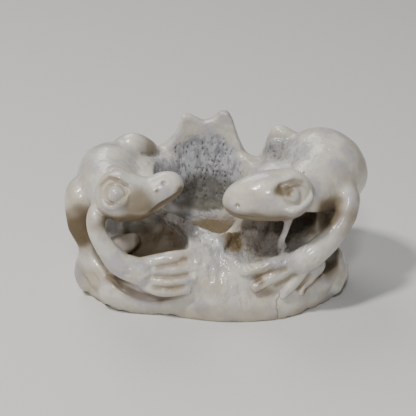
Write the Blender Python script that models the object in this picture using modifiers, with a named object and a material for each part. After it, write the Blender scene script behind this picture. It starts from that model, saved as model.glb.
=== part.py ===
"""Antler carving of two frogs that face each other across a hollowed antler burr.

The carving is one solid: a flat-bottomed oval foot, a hollow behind a thin front rim, a tall
crest with two points at the back, and a frog on each side whose arm reaches down to the foot.
X runs left to right as the frogs are seen from the front, Y away from the viewer, Z up. The
origin is the middle of the underside.

It is built the way a modeller in clay works: rough masses are joined and smoothed, the hollow
and the pockets under the heads are cut out, then the heads, limbs and digits are laid on.
"""

import math
from dataclasses import dataclass

import bmesh
import bpy
from mathutils import Matrix, Vector

CARVING_GROUP = "antler_frog_carving"
CUTTER_GROUP = "cutters"

CARVING_LENGTH = 0.0608  # over the left knee and the right haunch
MM = CARVING_LENGTH / 60.8  # a millimetre of the real carving: the figures keep their proportions

FLOOR_HEIGHT = 0.0100  # from the underside to the floor of the hollow
CREST_THICKNESS = 0.0042  # the tall wall at the back
BULK_GRAIN = 0.00060  # voxel of the rough masses
LIMB_GRAIN = 0.00040  # voxel once the heads and limbs are on
TRIANGLES = 9400  # facets that the finished solid keeps

ANTLER_COLOUR = (0.60, 0.55, 0.47, 1.0)
ANTLER_ROUGHNESS = 0.32

BODY_MIDDLE = -0.6  # of the body along X, in MM

# Where the foot leaves a true oval: flatter at the front left, fuller at the front right.
# Each is a share of the foot's reach, the middle of the stretch and its spread in degrees.
FOOT_FLAT = (0.10, -108.0, 22.0)
FOOT_FULL = (0.03, -58.0, 12.0)
FOOT_TOP = 6.0  # the foot's height, in MM

# Level of the body: height, front, back and half length, all in MM.
BODY_LEVELS = [
    (-1.0, -19.4, 19.6, 26.8),
    (2.5, -19.5, 20.0, 27.5),
    (5.0, -18.3, 19.3, 26.8),
    (8.0, -16.4, 18.2, 25.0),
    (12.0, -13.8, 17.2, 23.4),
    (16.0, -11.2, 16.9, 22.6),
    (20.0, -9.2, 16.9, 21.6),
    (23.0, -6.0, 15.0, 17.0),
]

# Middle surface of the crest, in MM: how far back it stands, how it bends to the oval and leans.
CREST_BACK = 15.8
CREST_BEND = 0.012  # how far forward it comes, for each square MM from its own middle
CREST_MIDDLE = -1.5
CREST_LEAN = 0.03  # how far forward it comes, for each MM of height
CREST_LEVEL = 14.0  # the height where it stands at CREST_BACK
CREST_FOOT = 4.0  # where it starts, inside the body

# Top edge of the crest: how far along X and how high, in MM.
CREST_EDGE = [
    (-15.0, 22.6),
    (-12.8, 24.0),
    (-10.6, 24.9),
    (-8.9, 26.6),
    (-7.7, 29.0),
    (-7.0, 31.4),
    (-5.4, 31.3),
    (-2.4, 29.7),
    (-0.4, 30.2),
    (1.2, 31.9),
    (2.6, 31.9),
    (3.8, 30.0),
    (4.8, 26.4),
    (6.2, 23.0),
    (8.2, 21.4),
    (11.0, 21.4),
]

# Top edge of the front wall between the two pockets, in MM.
RIM_EDGE = [
    (-11.5, 20.2),
    (-8.2, 18.7),
    (-5.2, 17.9),
    (-2.6, 16.9),
    (-0.4, 16.1),
    (0.9, 16.1),
    (2.0, 17.0),
    (2.9, 17.9),
    (3.3, 20.4),
]


def point(x, y, z):
    """A place in the carving, given in MM."""
    return Vector((x, y, z)) * MM


@dataclass
class Frog:
    """One frog. Each row is (x, y, z, radius) in MM, and limbs run from the body outwards."""

    name: str
    skull: list
    jaw: list
    eyes: list
    torso: list
    shoulder: list
    arm: list
    digits: list
    outer_leg: list
    outer_toes: list
    inner_leg: list
    inner_toes: list


LEFT = Frog(
    name="left",
    skull=[
        (-18.6, -12.5, 24.9, 5.0),
        (-15.6, -12.8, 24.5, 4.4),
        (-12.7, -12.7, 25.1, 3.45),
        (-10.1, -12.4, 26.4, 3.05),
        (-8.9, -12.3, 26.9, 2.6),
    ],
    jaw=[(-18.4, -12.6, 23.0, 3.4), (-14.8, -12.6, 22.8, 2.6)],
    eyes=[(-19.7, -16.0, 26.9, 1.8), (-19.5, -8.9, 26.9, 1.8)],
    torso=[
        (-19.5, 10.5, 20.0, 6.4),
        (-21.6, 4.0, 22.4, 6.5),
        (-21.8, -1.5, 22.4, 5.9),
        (-18.6, -8.0, 23.2, 4.6),
    ],
    shoulder=[(-21.4, -7.0, 22.4, 3.2), (-22.6, -11.6, 20.8, 2.1)],
    arm=[
        (-21.6, -9.6, 22.2, 2.6),
        (-23.3, -13.4, 20.4, 1.9),
        (-23.1, -14.6, 17.6, 1.8),
        (-21.2, -15.2, 14.2, 2.0),
        (-18.6, -15.4, 11.2, 2.4),
        (-14.8, -15.2, 9.4, 2.8),
    ],
    digits=[
        [(-14.0, -14.4, 10.8, 1.5), (-8.7, -14.6, 12.1, 1.4), (-4.2, -13.5, 12.8, 1.0)],
        [(-14.0, -14.9, 9.4, 1.5), (-8.6, -15.8, 10.1, 1.35), (-4.0, -14.9, 10.8, 1.0)],
        [(-14.0, -15.6, 8.0, 1.5), (-9.2, -16.9, 8.0, 1.35), (-4.2, -16.2, 8.5, 1.0)],
        [(-14.0, -16.0, 7.0, 1.4), (-10.0, -17.4, 6.1, 1.3), (-5.6, -17.1, 6.2, 1.0)],
    ],
    outer_leg=[
        (-20.5, 6.0, 19.0, 5.0),
        (-25.2, 0.5, 20.2, 4.0),
        (-27.0, -3.0, 20.4, 3.4),
        (-26.7, -4.6, 15.6, 2.2),
        (-25.4, -5.6, 11.2, 1.9),
        (-25.6, -6.2, 7.6, 2.4),
    ],
    outer_toes=[
        [(-25.2, -6.4, 8.6, 1.6), (-23.6, -8.8, 7.4, 1.4), (-22.0, -10.8, 5.8, 1.0)],
        [(-26.0, -6.0, 7.2, 1.6), (-25.0, -7.8, 5.8, 1.5), (-24.2, -9.4, 4.4, 1.1)],
        [(-26.9, -5.0, 6.0, 1.7), (-27.1, -5.8, 4.2, 1.7), (-26.6, -6.6, 2.4, 1.4)],
    ],
    inner_leg=[
        (-20.0, 9.4, 20.6, 4.6),
        (-18.8, 9.4, 24.8, 3.4),
        (-17.0, 9.2, 26.4, 2.7),
        (-14.4, 11.6, 24.4, 2.4),
        (-12.8, 15.4, 19.6, 2.2),
        (-12.6, 17.4, 13.0, 1.9),
        (-13.2, 18.2, 7.4, 2.1),
    ],
    inner_toes=[
        [(-13.2, 18.0, 7.0, 1.6), (-11.4, 18.9, 4.6, 1.4), (-9.8, 19.3, 3.0, 1.1)],
        [(-13.2, 18.0, 7.0, 1.6), (-13.6, 18.4, 4.2, 1.4), (-13.8, 18.3, 2.4, 1.1)],
        [(-13.2, 18.0, 7.0, 1.6), (-15.6, 17.4, 5.0, 1.4), (-17.4, 16.6, 3.6, 1.1)],
    ],
)

RIGHT = Frog(
    name="right",
    skull=[
        (14.2, -12.4, 25.0, 4.9),
        (9.4, -12.7, 24.7, 4.8),
        (5.8, -12.7, 24.0, 3.9),
        (4.2, -12.6, 23.6, 2.9),
    ],
    jaw=[(13.0, -12.6, 23.0, 3.2), (9.0, -12.7, 22.8, 3.0)],
    eyes=[(15.4, -16.0, 26.5, 1.7), (15.0, -9.0, 27.0, 1.8)],
    torso=[
        (18.5, 11.0, 20.8, 6.6),
        (21.4, 5.0, 24.4, 7.3),
        (22.9, -0.3, 24.3, 7.3),
        (17.6, -7.4, 23.0, 5.2),
    ],
    shoulder=[(22.4, -3.4, 22.4, 4.4), (25.0, -7.0, 21.8, 2.9)],
    arm=[
        (23.0, -4.0, 22.6, 3.4),
        (25.6, -7.4, 22.4, 2.9),
        (25.5, -9.0, 20.4, 2.75),
        (24.8, -10.2, 18.4, 2.5),
        (22.6, -12.0, 15.6, 2.4),
        (19.4, -14.0, 13.0, 2.6),
        (16.8, -14.4, 11.2, 2.7),
    ],
    digits=[
        [(16.2, -14.0, 11.6, 1.6), (10.6, -14.9, 10.8, 1.5), (5.8, -15.6, 9.8, 1.1)],
        [(16.6, -14.2, 11.0, 1.6), (12.4, -15.2, 9.1, 1.35), (7.8, -17.0, 6.9, 1.0)],
        [(17.8, -14.0, 10.4, 1.6), (15.9, -14.8, 7.6, 1.35), (13.4, -16.5, 4.9, 0.9)],
        [(19.4, -13.0, 10.0, 1.5), (18.6, -13.9, 7.4, 1.2), (17.0, -15.0, 5.0, 0.9)],
    ],
    outer_leg=[
        (20.0, 7.0, 20.6, 5.4),
        (25.0, 3.0, 23.6, 4.8),
        (26.2, -0.5, 23.6, 4.4),
        (24.2, 2.4, 16.0, 3.0),
        (23.4, 0.5, 10.0, 2.4),
        (22.8, -2.0, 6.4, 3.0),
    ],
    outer_toes=[
        [(23.6, -3.0, 6.8, 2.4), (23.0, -7.6, 6.2, 2.1), (21.6, -10.6, 4.6, 1.8)],
        [(24.4, -2.6, 5.4, 2.4), (25.0, -5.4, 4.4, 2.1), (24.2, -8.2, 2.8, 1.7)],
        [(24.4, -0.6, 4.8, 2.2), (25.6, -1.0, 3.4, 1.9), (25.8, -2.6, 2.2, 1.6)],
    ],
    inner_leg=[
        (19.6, 10.4, 21.4, 4.6),
        (16.4, 9.6, 26.2, 2.7),
        (13.1, 9.4, 29.5, 1.45),
        (11.8, 10.4, 25.4, 1.7),
        (11.0, 13.6, 20.4, 2.0),
        (11.2, 17.0, 14.0, 1.9),
        (11.6, 18.0, 7.4, 2.1),
    ],
    inner_toes=[
        [(11.6, 17.8, 7.0, 1.6), (9.8, 18.9, 4.8, 1.4), (8.2, 19.5, 3.2, 1.1)],
        [(11.6, 17.8, 7.0, 1.6), (12.0, 18.5, 4.2, 1.4), (12.2, 18.6, 2.4, 1.1)],
        [(11.6, 17.8, 7.0, 1.6), (14.0, 17.8, 5.0, 1.4), (15.8, 17.3, 3.6, 1.1)],
    ],
)

FROGS = (LEFT, RIGHT)

# The space above the front rim, in MM: its top, front and back.
NOTCH_TOP = 30.0
NOTCH_FRONT = -24.0
NOTCH_BACK = -4.0

# Masses between each torso and the hollow, under each hand, and inside the right frog's knee:
# centre and half sizes in MM.
GROUNDS = [
    ((-14.6, 2.6, 17.0), (8.4, 9.6, 8.0)),
    ((13.6, 2.8, 17.0), (8.6, 9.6, 8.6)),
    ((-9.0, -11.4, 9.8), (9.0, 4.8, 5.4)),
    ((12.0, -11.2, 9.2), (10.0, 4.8, 5.6)),
    ((13.6, 8.2, 25.2), (3.6, 2.4, 3.4)),
]

# The hollow as level ovals: height above its floor, middle (x, y) and half sizes in MM.
HOLLOW_LEVELS = [
    (0.0, (-3.0, 3.6), (6.0, 7.2)),
    (0.6, (-3.0, 3.6), (7.4, 9.0)),
    (2.0, (-2.8, 3.4), (8.2, 10.4)),
    (5.0, (-2.4, 3.0), (8.6, 11.2)),
    (10.0, (-2.2, 2.4), (9.2, 11.8)),
    (13.0, (-2.0, 1.8), (10.4, 12.5)),
    (25.0, (-1.8, 1.4), (12.0, 13.0)),
]
HOLLOW_SQUARENESS = {1: 2.8, -1: 2.1}  # of the back half and the front half: 2 is a true oval

# Run of the scoop that thins the front rim from behind: (x, y, z, radius) in MM.
SCOOP = [
    (-10.4, -2.9, 21.1, 4.0),
    (-8.0, -4.0, 20.2, 4.0),
    (-5.2, -5.3, 19.4, 4.0),
    (-2.6, -6.4, 18.4, 4.0),
    (-0.4, -7.0, 17.5, 4.0),
    (0.9, -7.2, 17.5, 3.9),
    (2.0, -6.7, 18.4, 3.6),
    (3.0, -5.7, 19.4, 3.2),
]

# Pockets cut from the front, under the heads: centre and half sizes in MM.
POCKETS = [
    ((-15.0, -12.5, 15.8), (6.2, 7.6, 4.6)),
    ((-10.4, -13.6, 15.0), (5.2, 5.6, 4.2)),
    ((9.6, -14.0, 15.8), (6.2, 6.6, 4.6)),
    ((17.0, -9.5, 16.6), (5.4, 8.2, 4.4)),
]

# A sliver of antler left standing in the right pocket, from the jaw to the pocket's floor.
STRUT = [
    (14.6, -13.6, 21.4, 0.9),
    (13.5, -14.2, 17.6, 0.7),
    (12.9, -14.0, 14.6, 0.9),
    (13.6, -13.4, 12.4, 1.3),
]

# A web left between the left arm and the body inside the left pocket.
WEB = [(-20.4, -12.6, 12.6, 2.4), (-18.2, -11.8, 12.9, 2.3), (-16.4, -10.6, 13.2, 1.9)]


def clear_scene():
    """Leaves an empty scene."""
    for old in list(bpy.data.objects):
        bpy.data.objects.remove(old)


def group(name):
    """The collection of this name, made where there is none yet."""
    found = bpy.data.collections.get(name)
    if found is None:
        found = bpy.data.collections.new(name)
        bpy.context.scene.collection.children.link(found)
    return found


def add_object(name, data):
    """Adds a new object that shows the data to the carving's collection."""
    made = bpy.data.objects.new(name, data)
    group(CARVING_GROUP).objects.link(made)
    return made


def bake(source):
    """Turns an object, modifiers or curve and all, into a plain mesh object of the same name."""
    bpy.context.view_layer.update()
    evaluated = source.evaluated_get(bpy.context.evaluated_depsgraph_get())
    mesh = bpy.data.meshes.new_from_object(evaluated)
    mesh.transform(source.matrix_world)
    name = source.name
    bpy.data.objects.remove(source)
    made = add_object(name, mesh)
    made.name = name
    return made


def ball(name, centre, half):
    """An upright ellipsoid with these half sizes in metres."""
    shape = bmesh.new()
    bmesh.ops.create_uvsphere(shape, u_segments=32, v_segments=20, radius=1.0)
    mesh = bpy.data.meshes.new(name)
    shape.to_mesh(mesh)
    shape.free()
    mesh.transform(Matrix.Translation(centre) @ Matrix.Diagonal((*half, 1.0)))
    return add_object(name, mesh)


def limb(name, stations):
    """A round limb along a smooth curve through (x, y, z, radius) stations, with ball ends."""
    curve = bpy.data.curves.new(name, "CURVE")
    curve.dimensions = "3D"
    curve.bevel_depth = MM
    curve.bevel_resolution = 4
    curve.resolution_u = 8
    curve.use_fill_caps = True
    spline = curve.splines.new("BEZIER")
    spline.bezier_points.add(len(stations) - 1)
    for knot, (x, y, z, radius) in zip(spline.bezier_points, stations):
        knot.co = point(x, y, z)
        knot.handle_left_type = knot.handle_right_type = "AUTO"
        knot.radius = radius
    pieces = [bake(add_object(name, curve))]
    for x, y, z, radius in (stations[0], stations[-1]):
        pieces.append(ball(name + "_end", point(x, y, z), [radius * MM] * 3))
    return join(name, pieces)


def join(name, pieces):
    """Puts the pieces' meshes in one object. They still overlap: melt() makes them one body."""
    whole = bmesh.new()
    for piece in pieces:
        whole.from_mesh(piece.data)
        bpy.data.objects.remove(piece)
    bmesh.ops.remove_doubles(whole, verts=whole.verts, dist=0.00001)
    mesh = bpy.data.meshes.new(name)
    whole.to_mesh(mesh)
    whole.free()
    return add_object(name, mesh)


def melt(piece, grain, strokes):
    """Melts overlapping shapes into one closed skin, and rubs it smooth."""
    skin = piece.modifiers.new("melt", "REMESH")
    skin.mode = "VOXEL"
    skin.voxel_size = grain
    rub = piece.modifiers.new("rub", "SMOOTH")
    rub.factor = 0.5
    rub.iterations = strokes
    return bake(piece)


def cut(piece, cutter):
    """Takes the cutter's shape out of the piece."""
    group(CARVING_GROUP).objects.unlink(cutter)
    group(CUTTER_GROUP).objects.link(cutter)
    cutter.hide_render = True
    cutter.display_type = "WIRE"
    difference = piece.modifiers.new("cut", "BOOLEAN")
    difference.operation = "DIFFERENCE"
    difference.solver = "EXACT"
    difference.object = cutter
    result = bake(piece)
    bpy.data.objects.remove(cutter)
    return result


def foot_wobble(angle):
    """The foot's reach at an angle, as a share of a true oval's."""
    flat, full = (
        share * math.exp(-(((math.degrees(angle) - middle) / spread) ** 2))
        for share, middle, spread in (FOOT_FLAT, FOOT_FULL)
    )
    return 1 - flat + full


def loft(name, rings):
    """A closed skin over rings of points, with flat ends."""
    shape = bmesh.new()
    rows = [[shape.verts.new(p) for p in ring] for ring in rings]
    for low, high in zip(rows, rows[1:]):
        for i in range(len(low)):
            j = (i + 1) % len(low)
            shape.faces.new((low[i], low[j], high[j], high[i]))
    shape.faces.new(list(reversed(rows[0])))
    shape.faces.new(rows[-1])
    mesh = bpy.data.meshes.new(name)
    shape.to_mesh(mesh)
    shape.free()
    return add_object(name, mesh)


def body():
    """The burr's oval body, from under the foot to the rim."""
    steps = 72
    rings = []
    for height, front, back, half in BODY_LEVELS:
        ring = []
        middle, depth = (front + back) / 2, (back - front) / 2
        for i in range(steps):
            angle = -math.pi + 2 * math.pi * i / steps
            reach = foot_wobble(angle) if height < FOOT_TOP else 1.0
            x = BODY_MIDDLE + half * reach * math.cos(angle)
            y = middle + depth * reach * math.sin(angle)
            ring.append(point(x, y, height))
        rings.append(ring)
    return loft("body", rings)


def edge_height(edge, x):
    """The height of an edge line at x, easing from each given point to the next."""
    if x <= edge[0][0]:
        return edge[0][1]
    for (x0, z0), (x1, z1) in zip(edge, edge[1:]):
        if x <= x1:
            share = (x - x0) / (x1 - x0)
            return z0 + (z1 - z0) * share
    return edge[-1][1]


def crest():
    """The tall wall at the back, bent to the oval, with two points at the top."""
    across, up = 60, 16
    start, end = CREST_EDGE[0][0], CREST_EDGE[-1][0]
    shape = bmesh.new()
    rows = []
    for i in range(across + 1):
        x = start + (end - start) * i / across
        top = edge_height(CREST_EDGE, x)
        column = []
        for k in range(up + 1):
            z = CREST_FOOT + (top - CREST_FOOT) * k / up
            y = CREST_BACK - CREST_BEND * (x - CREST_MIDDLE) ** 2 - CREST_LEAN * (z - CREST_LEVEL)
            column.append(shape.verts.new(point(x, y, z)))
        rows.append(column)
    for left, right in zip(rows, rows[1:]):
        for k in range(up):
            shape.faces.new((left[k], right[k], right[k + 1], left[k + 1]))
    mesh = bpy.data.meshes.new("crest")
    shape.to_mesh(mesh)
    shape.free()
    sheet = add_object("crest", mesh)
    wall = sheet.modifiers.new("wall", "SOLIDIFY")
    wall.thickness = CREST_THICKNESS
    wall.offset = 0.0
    return bake(sheet)


def hollow():
    """The cutter of the hollow: a squarish oval shaft with a rounded floor."""
    steps = 64
    rings = []
    for height, (x, y), (half_x, half_y) in HOLLOW_LEVELS:
        ring = []
        for i in range(steps):
            cos, sin = math.cos(2 * math.pi * i / steps), math.sin(2 * math.pi * i / steps)
            power = HOLLOW_SQUARENESS[1 if sin > 0 else -1]
            reach = (abs(cos) ** power + abs(sin) ** power) ** (-1 / power)
            level = FLOOR_HEIGHT / MM + height
            ring.append(point(x + half_x * reach * cos, y + half_y * reach * sin, level))
        rings.append(ring)
    return loft("hollow", rings)


def rim_notch():
    """The cutter that lowers the front wall to its rim between the frogs."""
    outline = RIM_EDGE + [(RIM_EDGE[-1][0], NOTCH_TOP), (RIM_EDGE[0][0], NOTCH_TOP)]
    front = [point(x, NOTCH_FRONT, z) for x, z in outline]
    back = [point(x, NOTCH_BACK, z) for x, z in outline]
    return loft("notch", [back, front])


def scoop():
    """The cutter that thins the front rim from behind."""
    return melt(limb("scoop", SCOOP), BULK_GRAIN, 2)


def pockets():
    """The cutter of the pockets under the heads."""
    balls = [
        ball("pocket", point(*centre), [h * MM for h in half]) for centre, half in POCKETS
    ]
    return melt(join("pockets", balls), BULK_GRAIN, 2)


def frog_pieces(frog):
    """Everything of one frog that is laid on the cut body: head, eyes, limbs, digits and toes."""
    pieces = [limb(frog.name + "_skull", frog.skull), limb(frog.name + "_jaw", frog.jaw)]
    for x, y, z, radius in frog.eyes:
        pieces.append(ball(frog.name + "_eye", point(x, y, z), [radius * MM] * 3))
    for part in (frog.shoulder, frog.arm, frog.outer_leg, frog.inner_leg):
        pieces.append(limb(frog.name + "_limb", part))
    for part in frog.digits + frog.outer_toes + frog.inner_toes:
        pieces.append(limb(frog.name + "_digit", part))
    return pieces


def carving():
    """The whole carving as one closed solid, flat underneath."""
    masses = [body(), crest()]
    for middle, half in GROUNDS:
        masses.append(ball("ground", point(*middle), [h * MM for h in half]))
    for frog in FROGS:
        masses.append(limb(frog.name + "_torso", frog.torso))
    bulk = melt(join("bulk", masses), BULK_GRAIN, 6)
    for cutter in (hollow(), rim_notch(), scoop(), pockets()):
        bulk = cut(bulk, cutter)
    laid_on = [bulk, limb("strut", STRUT), limb("web", WEB)]
    for frog in FROGS:
        laid_on += frog_pieces(frog)
    return melt(join("carving", laid_on), LIMB_GRAIN, 4)


def extent(piece):
    """The lowest and highest corners of the piece's box."""
    lo = [min(v.co[i] for v in piece.data.vertices) for i in range(3)]
    hi = [max(v.co[i] for v in piece.data.vertices) for i in range(3)]
    return lo, hi


def centre(piece):
    """Moves the piece level until its box is centred over the origin."""
    lo, hi = extent(piece)
    piece.data.transform(Matrix.Translation((-(lo[0] + hi[0]) / 2, -(lo[1] + hi[1]) / 2, 0.0)))


def flatten_underside(piece):
    """Cuts the piece off level at the ground, with a slab twice as long, wide and deep as the piece."""
    lo, hi = extent(piece)
    size = [2 * (hi[i] - lo[i]) for i in range(3)]
    middle = [(hi[i] + lo[i]) / 2 for i in range(2)]
    bpy.ops.mesh.primitive_cube_add(size=1.0, location=(*middle, -size[2] / 2))
    slab = bpy.context.object
    slab.scale = size
    return cut(piece, bake(slab))


def antler():
    """Polished antler, the one material of the carving."""
    material = bpy.data.materials.new("antler")
    material.use_nodes = True
    shader = material.node_tree.nodes["Principled BSDF"]
    shader.inputs["Base Color"].default_value = ANTLER_COLOUR
    shader.inputs["Roughness"].default_value = ANTLER_ROUGHNESS
    return material


def main():
    """Builds the carving in an empty scene."""
    clear_scene()
    piece = carving()
    thin = piece.modifiers.new("thin", "DECIMATE")
    thin.ratio = TRIANGLES / sum(len(face.vertices) - 2 for face in piece.data.polygons)
    piece = flatten_underside(bake(piece))
    centre(piece)
    piece.name = "carving"
    piece.data.materials.clear()
    piece.data.materials.append(antler())
    piece.data.shade_smooth()


main()
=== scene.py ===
"""Dresses the antler frog carving: its fine carving, open pores, stains, painted shade and polish.

The carving is sculpted as a block of digital clay: a grid of small cells, each holding its distance
to the skin. Masses are pressed on and hollows are cut out with soft edges, as a carver rounds them,
and the skin is then drawn off as one mesh. Places are in millimetres, X to the right, Y away from
the viewer and Z up, with the foot's underside at nought.
"""

from __future__ import annotations

import logging
import math
from collections.abc import Sequence
from dataclasses import dataclass, field
from enum import Enum

import bpy
import numpy as np
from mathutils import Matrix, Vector

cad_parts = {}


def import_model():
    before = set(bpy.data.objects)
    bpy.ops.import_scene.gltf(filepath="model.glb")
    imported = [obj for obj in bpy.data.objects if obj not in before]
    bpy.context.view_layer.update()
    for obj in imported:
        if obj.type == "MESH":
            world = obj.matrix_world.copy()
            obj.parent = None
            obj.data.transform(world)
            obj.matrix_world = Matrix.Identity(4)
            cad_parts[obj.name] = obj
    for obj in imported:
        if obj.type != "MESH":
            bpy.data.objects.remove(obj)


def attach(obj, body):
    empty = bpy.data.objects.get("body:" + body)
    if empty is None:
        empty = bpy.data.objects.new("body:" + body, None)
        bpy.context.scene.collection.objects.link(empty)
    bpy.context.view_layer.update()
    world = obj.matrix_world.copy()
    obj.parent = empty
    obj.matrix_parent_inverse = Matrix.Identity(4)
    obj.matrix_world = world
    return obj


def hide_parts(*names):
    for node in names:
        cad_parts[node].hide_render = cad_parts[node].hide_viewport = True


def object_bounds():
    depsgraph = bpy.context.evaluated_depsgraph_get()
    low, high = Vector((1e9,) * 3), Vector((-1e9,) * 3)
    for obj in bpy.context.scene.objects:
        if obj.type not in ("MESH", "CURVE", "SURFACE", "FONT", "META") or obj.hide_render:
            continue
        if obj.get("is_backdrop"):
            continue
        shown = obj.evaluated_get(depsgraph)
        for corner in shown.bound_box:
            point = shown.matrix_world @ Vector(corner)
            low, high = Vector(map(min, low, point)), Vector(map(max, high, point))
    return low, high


log = logging.getLogger("carving")

Point = tuple[float, float, float]
Station = tuple[float, float, float, float]  # a place and the radius there
Profile = tuple[tuple[float, float], ...]  # shares of the way along a line, and the radius there
Smear = tuple[float, float]  # how wide a darkened line is, in mm, and how strong: dirt in a crack, painted shade in folds, and both in the creases of the face and hands
Grid = np.ndarray
Socket = bpy.types.NodeSocket
Tree = bpy.types.NodeTree

MM = 0.001
FAR = 4.0  # a distance in mm that is past any rounding
EASE_STEPS = 8  # places that an eased line is worked out at, for each ease
SKIN_STEPS = 5  # strides that bring a place to the skin
STRIDE = 1.0  # the longest of them, in mm


class Stroke(Enum):
    """What a tool does to the clay."""

    ADD = "press a mass on"
    CUT = "cut a hollow out"


def soft_lower(a: Grid, b: Grid, blend: float) -> Grid:
    """The lower of two distances, with the corner between them rounded off.

    Args:
        a: One distance.
        b: The other.
        blend: How wide the rounding is, in mm.

    Returns:
        The blended distance.
    """
    if blend < 1e-4:
        return np.minimum(a, b)
    share = np.clip(0.5 + 0.5 * (b - a) / blend, 0.0, 1.0)
    return b + (a - b) * share - blend * share * (1.0 - share)


def soft_higher(a: Grid, b: Grid, blend: float) -> Grid:
    """The higher of two distances, for what two shapes share, with the corner rounded off."""
    return -soft_lower(-a, -b, blend)


def ramp(low: float, high: float, value: Grid) -> Grid:
    """Eases from 0 at low to 1 at high, which may lie below low."""
    share = np.clip((value - low) / (high - low), 0.0, 1.0)
    return share * share * (3.0 - 2.0 * share)


def tapered(count: int, profile: Profile) -> Grid:
    """The radii of a profile, for a line of that many places."""
    shares, radii = zip(*profile)
    return np.interp(np.linspace(0, 1, count), shares, radii)


def smooth_path(stations: Sequence[Station], steps: int = 8) -> Grid:
    """A smooth run of stations through the given ones.

    Args:
        stations: The places and radii that it passes through.
        steps: How many pieces each span is cut in.

    Returns:
        One row of x, y, z, radius for each station of the run.
    """
    knots = np.array(stations, float)
    knots = np.vstack([2 * knots[0] - knots[1], knots, 2 * knots[-1] - knots[-2]])
    rows = []
    for a, b, c, d in zip(knots, knots[1:], knots[2:], knots[3:]):
        for s in np.arange(steps) / steps:
            bend = 2 * a - 5 * b + 4 * c - d + s * (3 * (b - c) + d - a)
            rows.append(b + 0.5 * s * (c - a + s * bend))
    rows.append(knots[-2])
    run = np.array(rows)
    run[:, 3] = np.maximum(run[:, 3], 0.05)
    return run


def eased_line(knots: Sequence[tuple[float, float]], at: Grid, ease: float) -> Grid:
    """Heights of a line through knots, with its corners eased.

    Args:
        knots: Pairs of place and height.
        at: The places wanted.
        ease: How far along a corner is spread, in mm.

    Returns:
        The heights at those places.
    """
    places, heights = zip(*knots)
    fine = np.arange(at.min() - 4 * ease, at.max() + 4 * ease, ease / EASE_STEPS)
    reach = 3 * EASE_STEPS
    kernel = np.exp(-0.5 * (np.arange(-reach, reach + 1) / EASE_STEPS) ** 2)
    raw = np.pad(np.interp(fine, places, heights), reach, mode="edge")
    return np.interp(at, fine, np.convolve(raw, kernel / kernel.sum(), mode="valid")).astype(np.float32)


def eased_columns(rows: Sequence[tuple[float, ...]], at: Grid, ease: float) -> list[Grid]:
    """An eased line over a table's first column, for each of its other columns."""
    places, *columns = zip(*rows)
    return [eased_line(list(zip(places, column)), at, ease) for column in columns]


def outside(value: Grid, low: float, high: float) -> Grid:
    """How far values lie outside a span: below nought inside it."""
    return np.maximum(value - high, low - value)


def midway(one: Sequence[Station], two: Sequence[Station]) -> Grid:
    """The smooth run halfway between two limbs that have as many stations."""
    return (smooth_path(one) + smooth_path(two)) / 2


def along_axis(values: Grid, axis: int) -> Grid:
    """Lays values out along one axis of a grid."""
    return values.reshape([-1 if i == axis else 1 for i in range(3)])


def cloud(axes: list[Grid], spacing: float, seed: int) -> Grid:
    """Soft random unevenness over a grid.

    Args:
        axes: The grid's places along X, Y and Z.
        spacing: The size of its lumps, in mm.
        seed: Which random pattern.

    Returns:
        Values about 0, mostly between -1 and 1.
    """
    rng = np.random.default_rng(seed)
    counts = [int((a[-1] - a[0]) / spacing) + 3 for a in axes]
    lattice = rng.uniform(-1.4, 1.4, counts).astype(np.float32)
    for axis, places in enumerate(axes):
        reach = (places - places[0]) / spacing
        first = reach.astype(int)
        share = (reach - first).astype(np.float32)
        share = along_axis(share * share * (3 - 2 * share), axis)
        lattice = lattice.take(first, axis) * (1 - share) + lattice.take(first + 1, axis) * share
    return lattice


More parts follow.
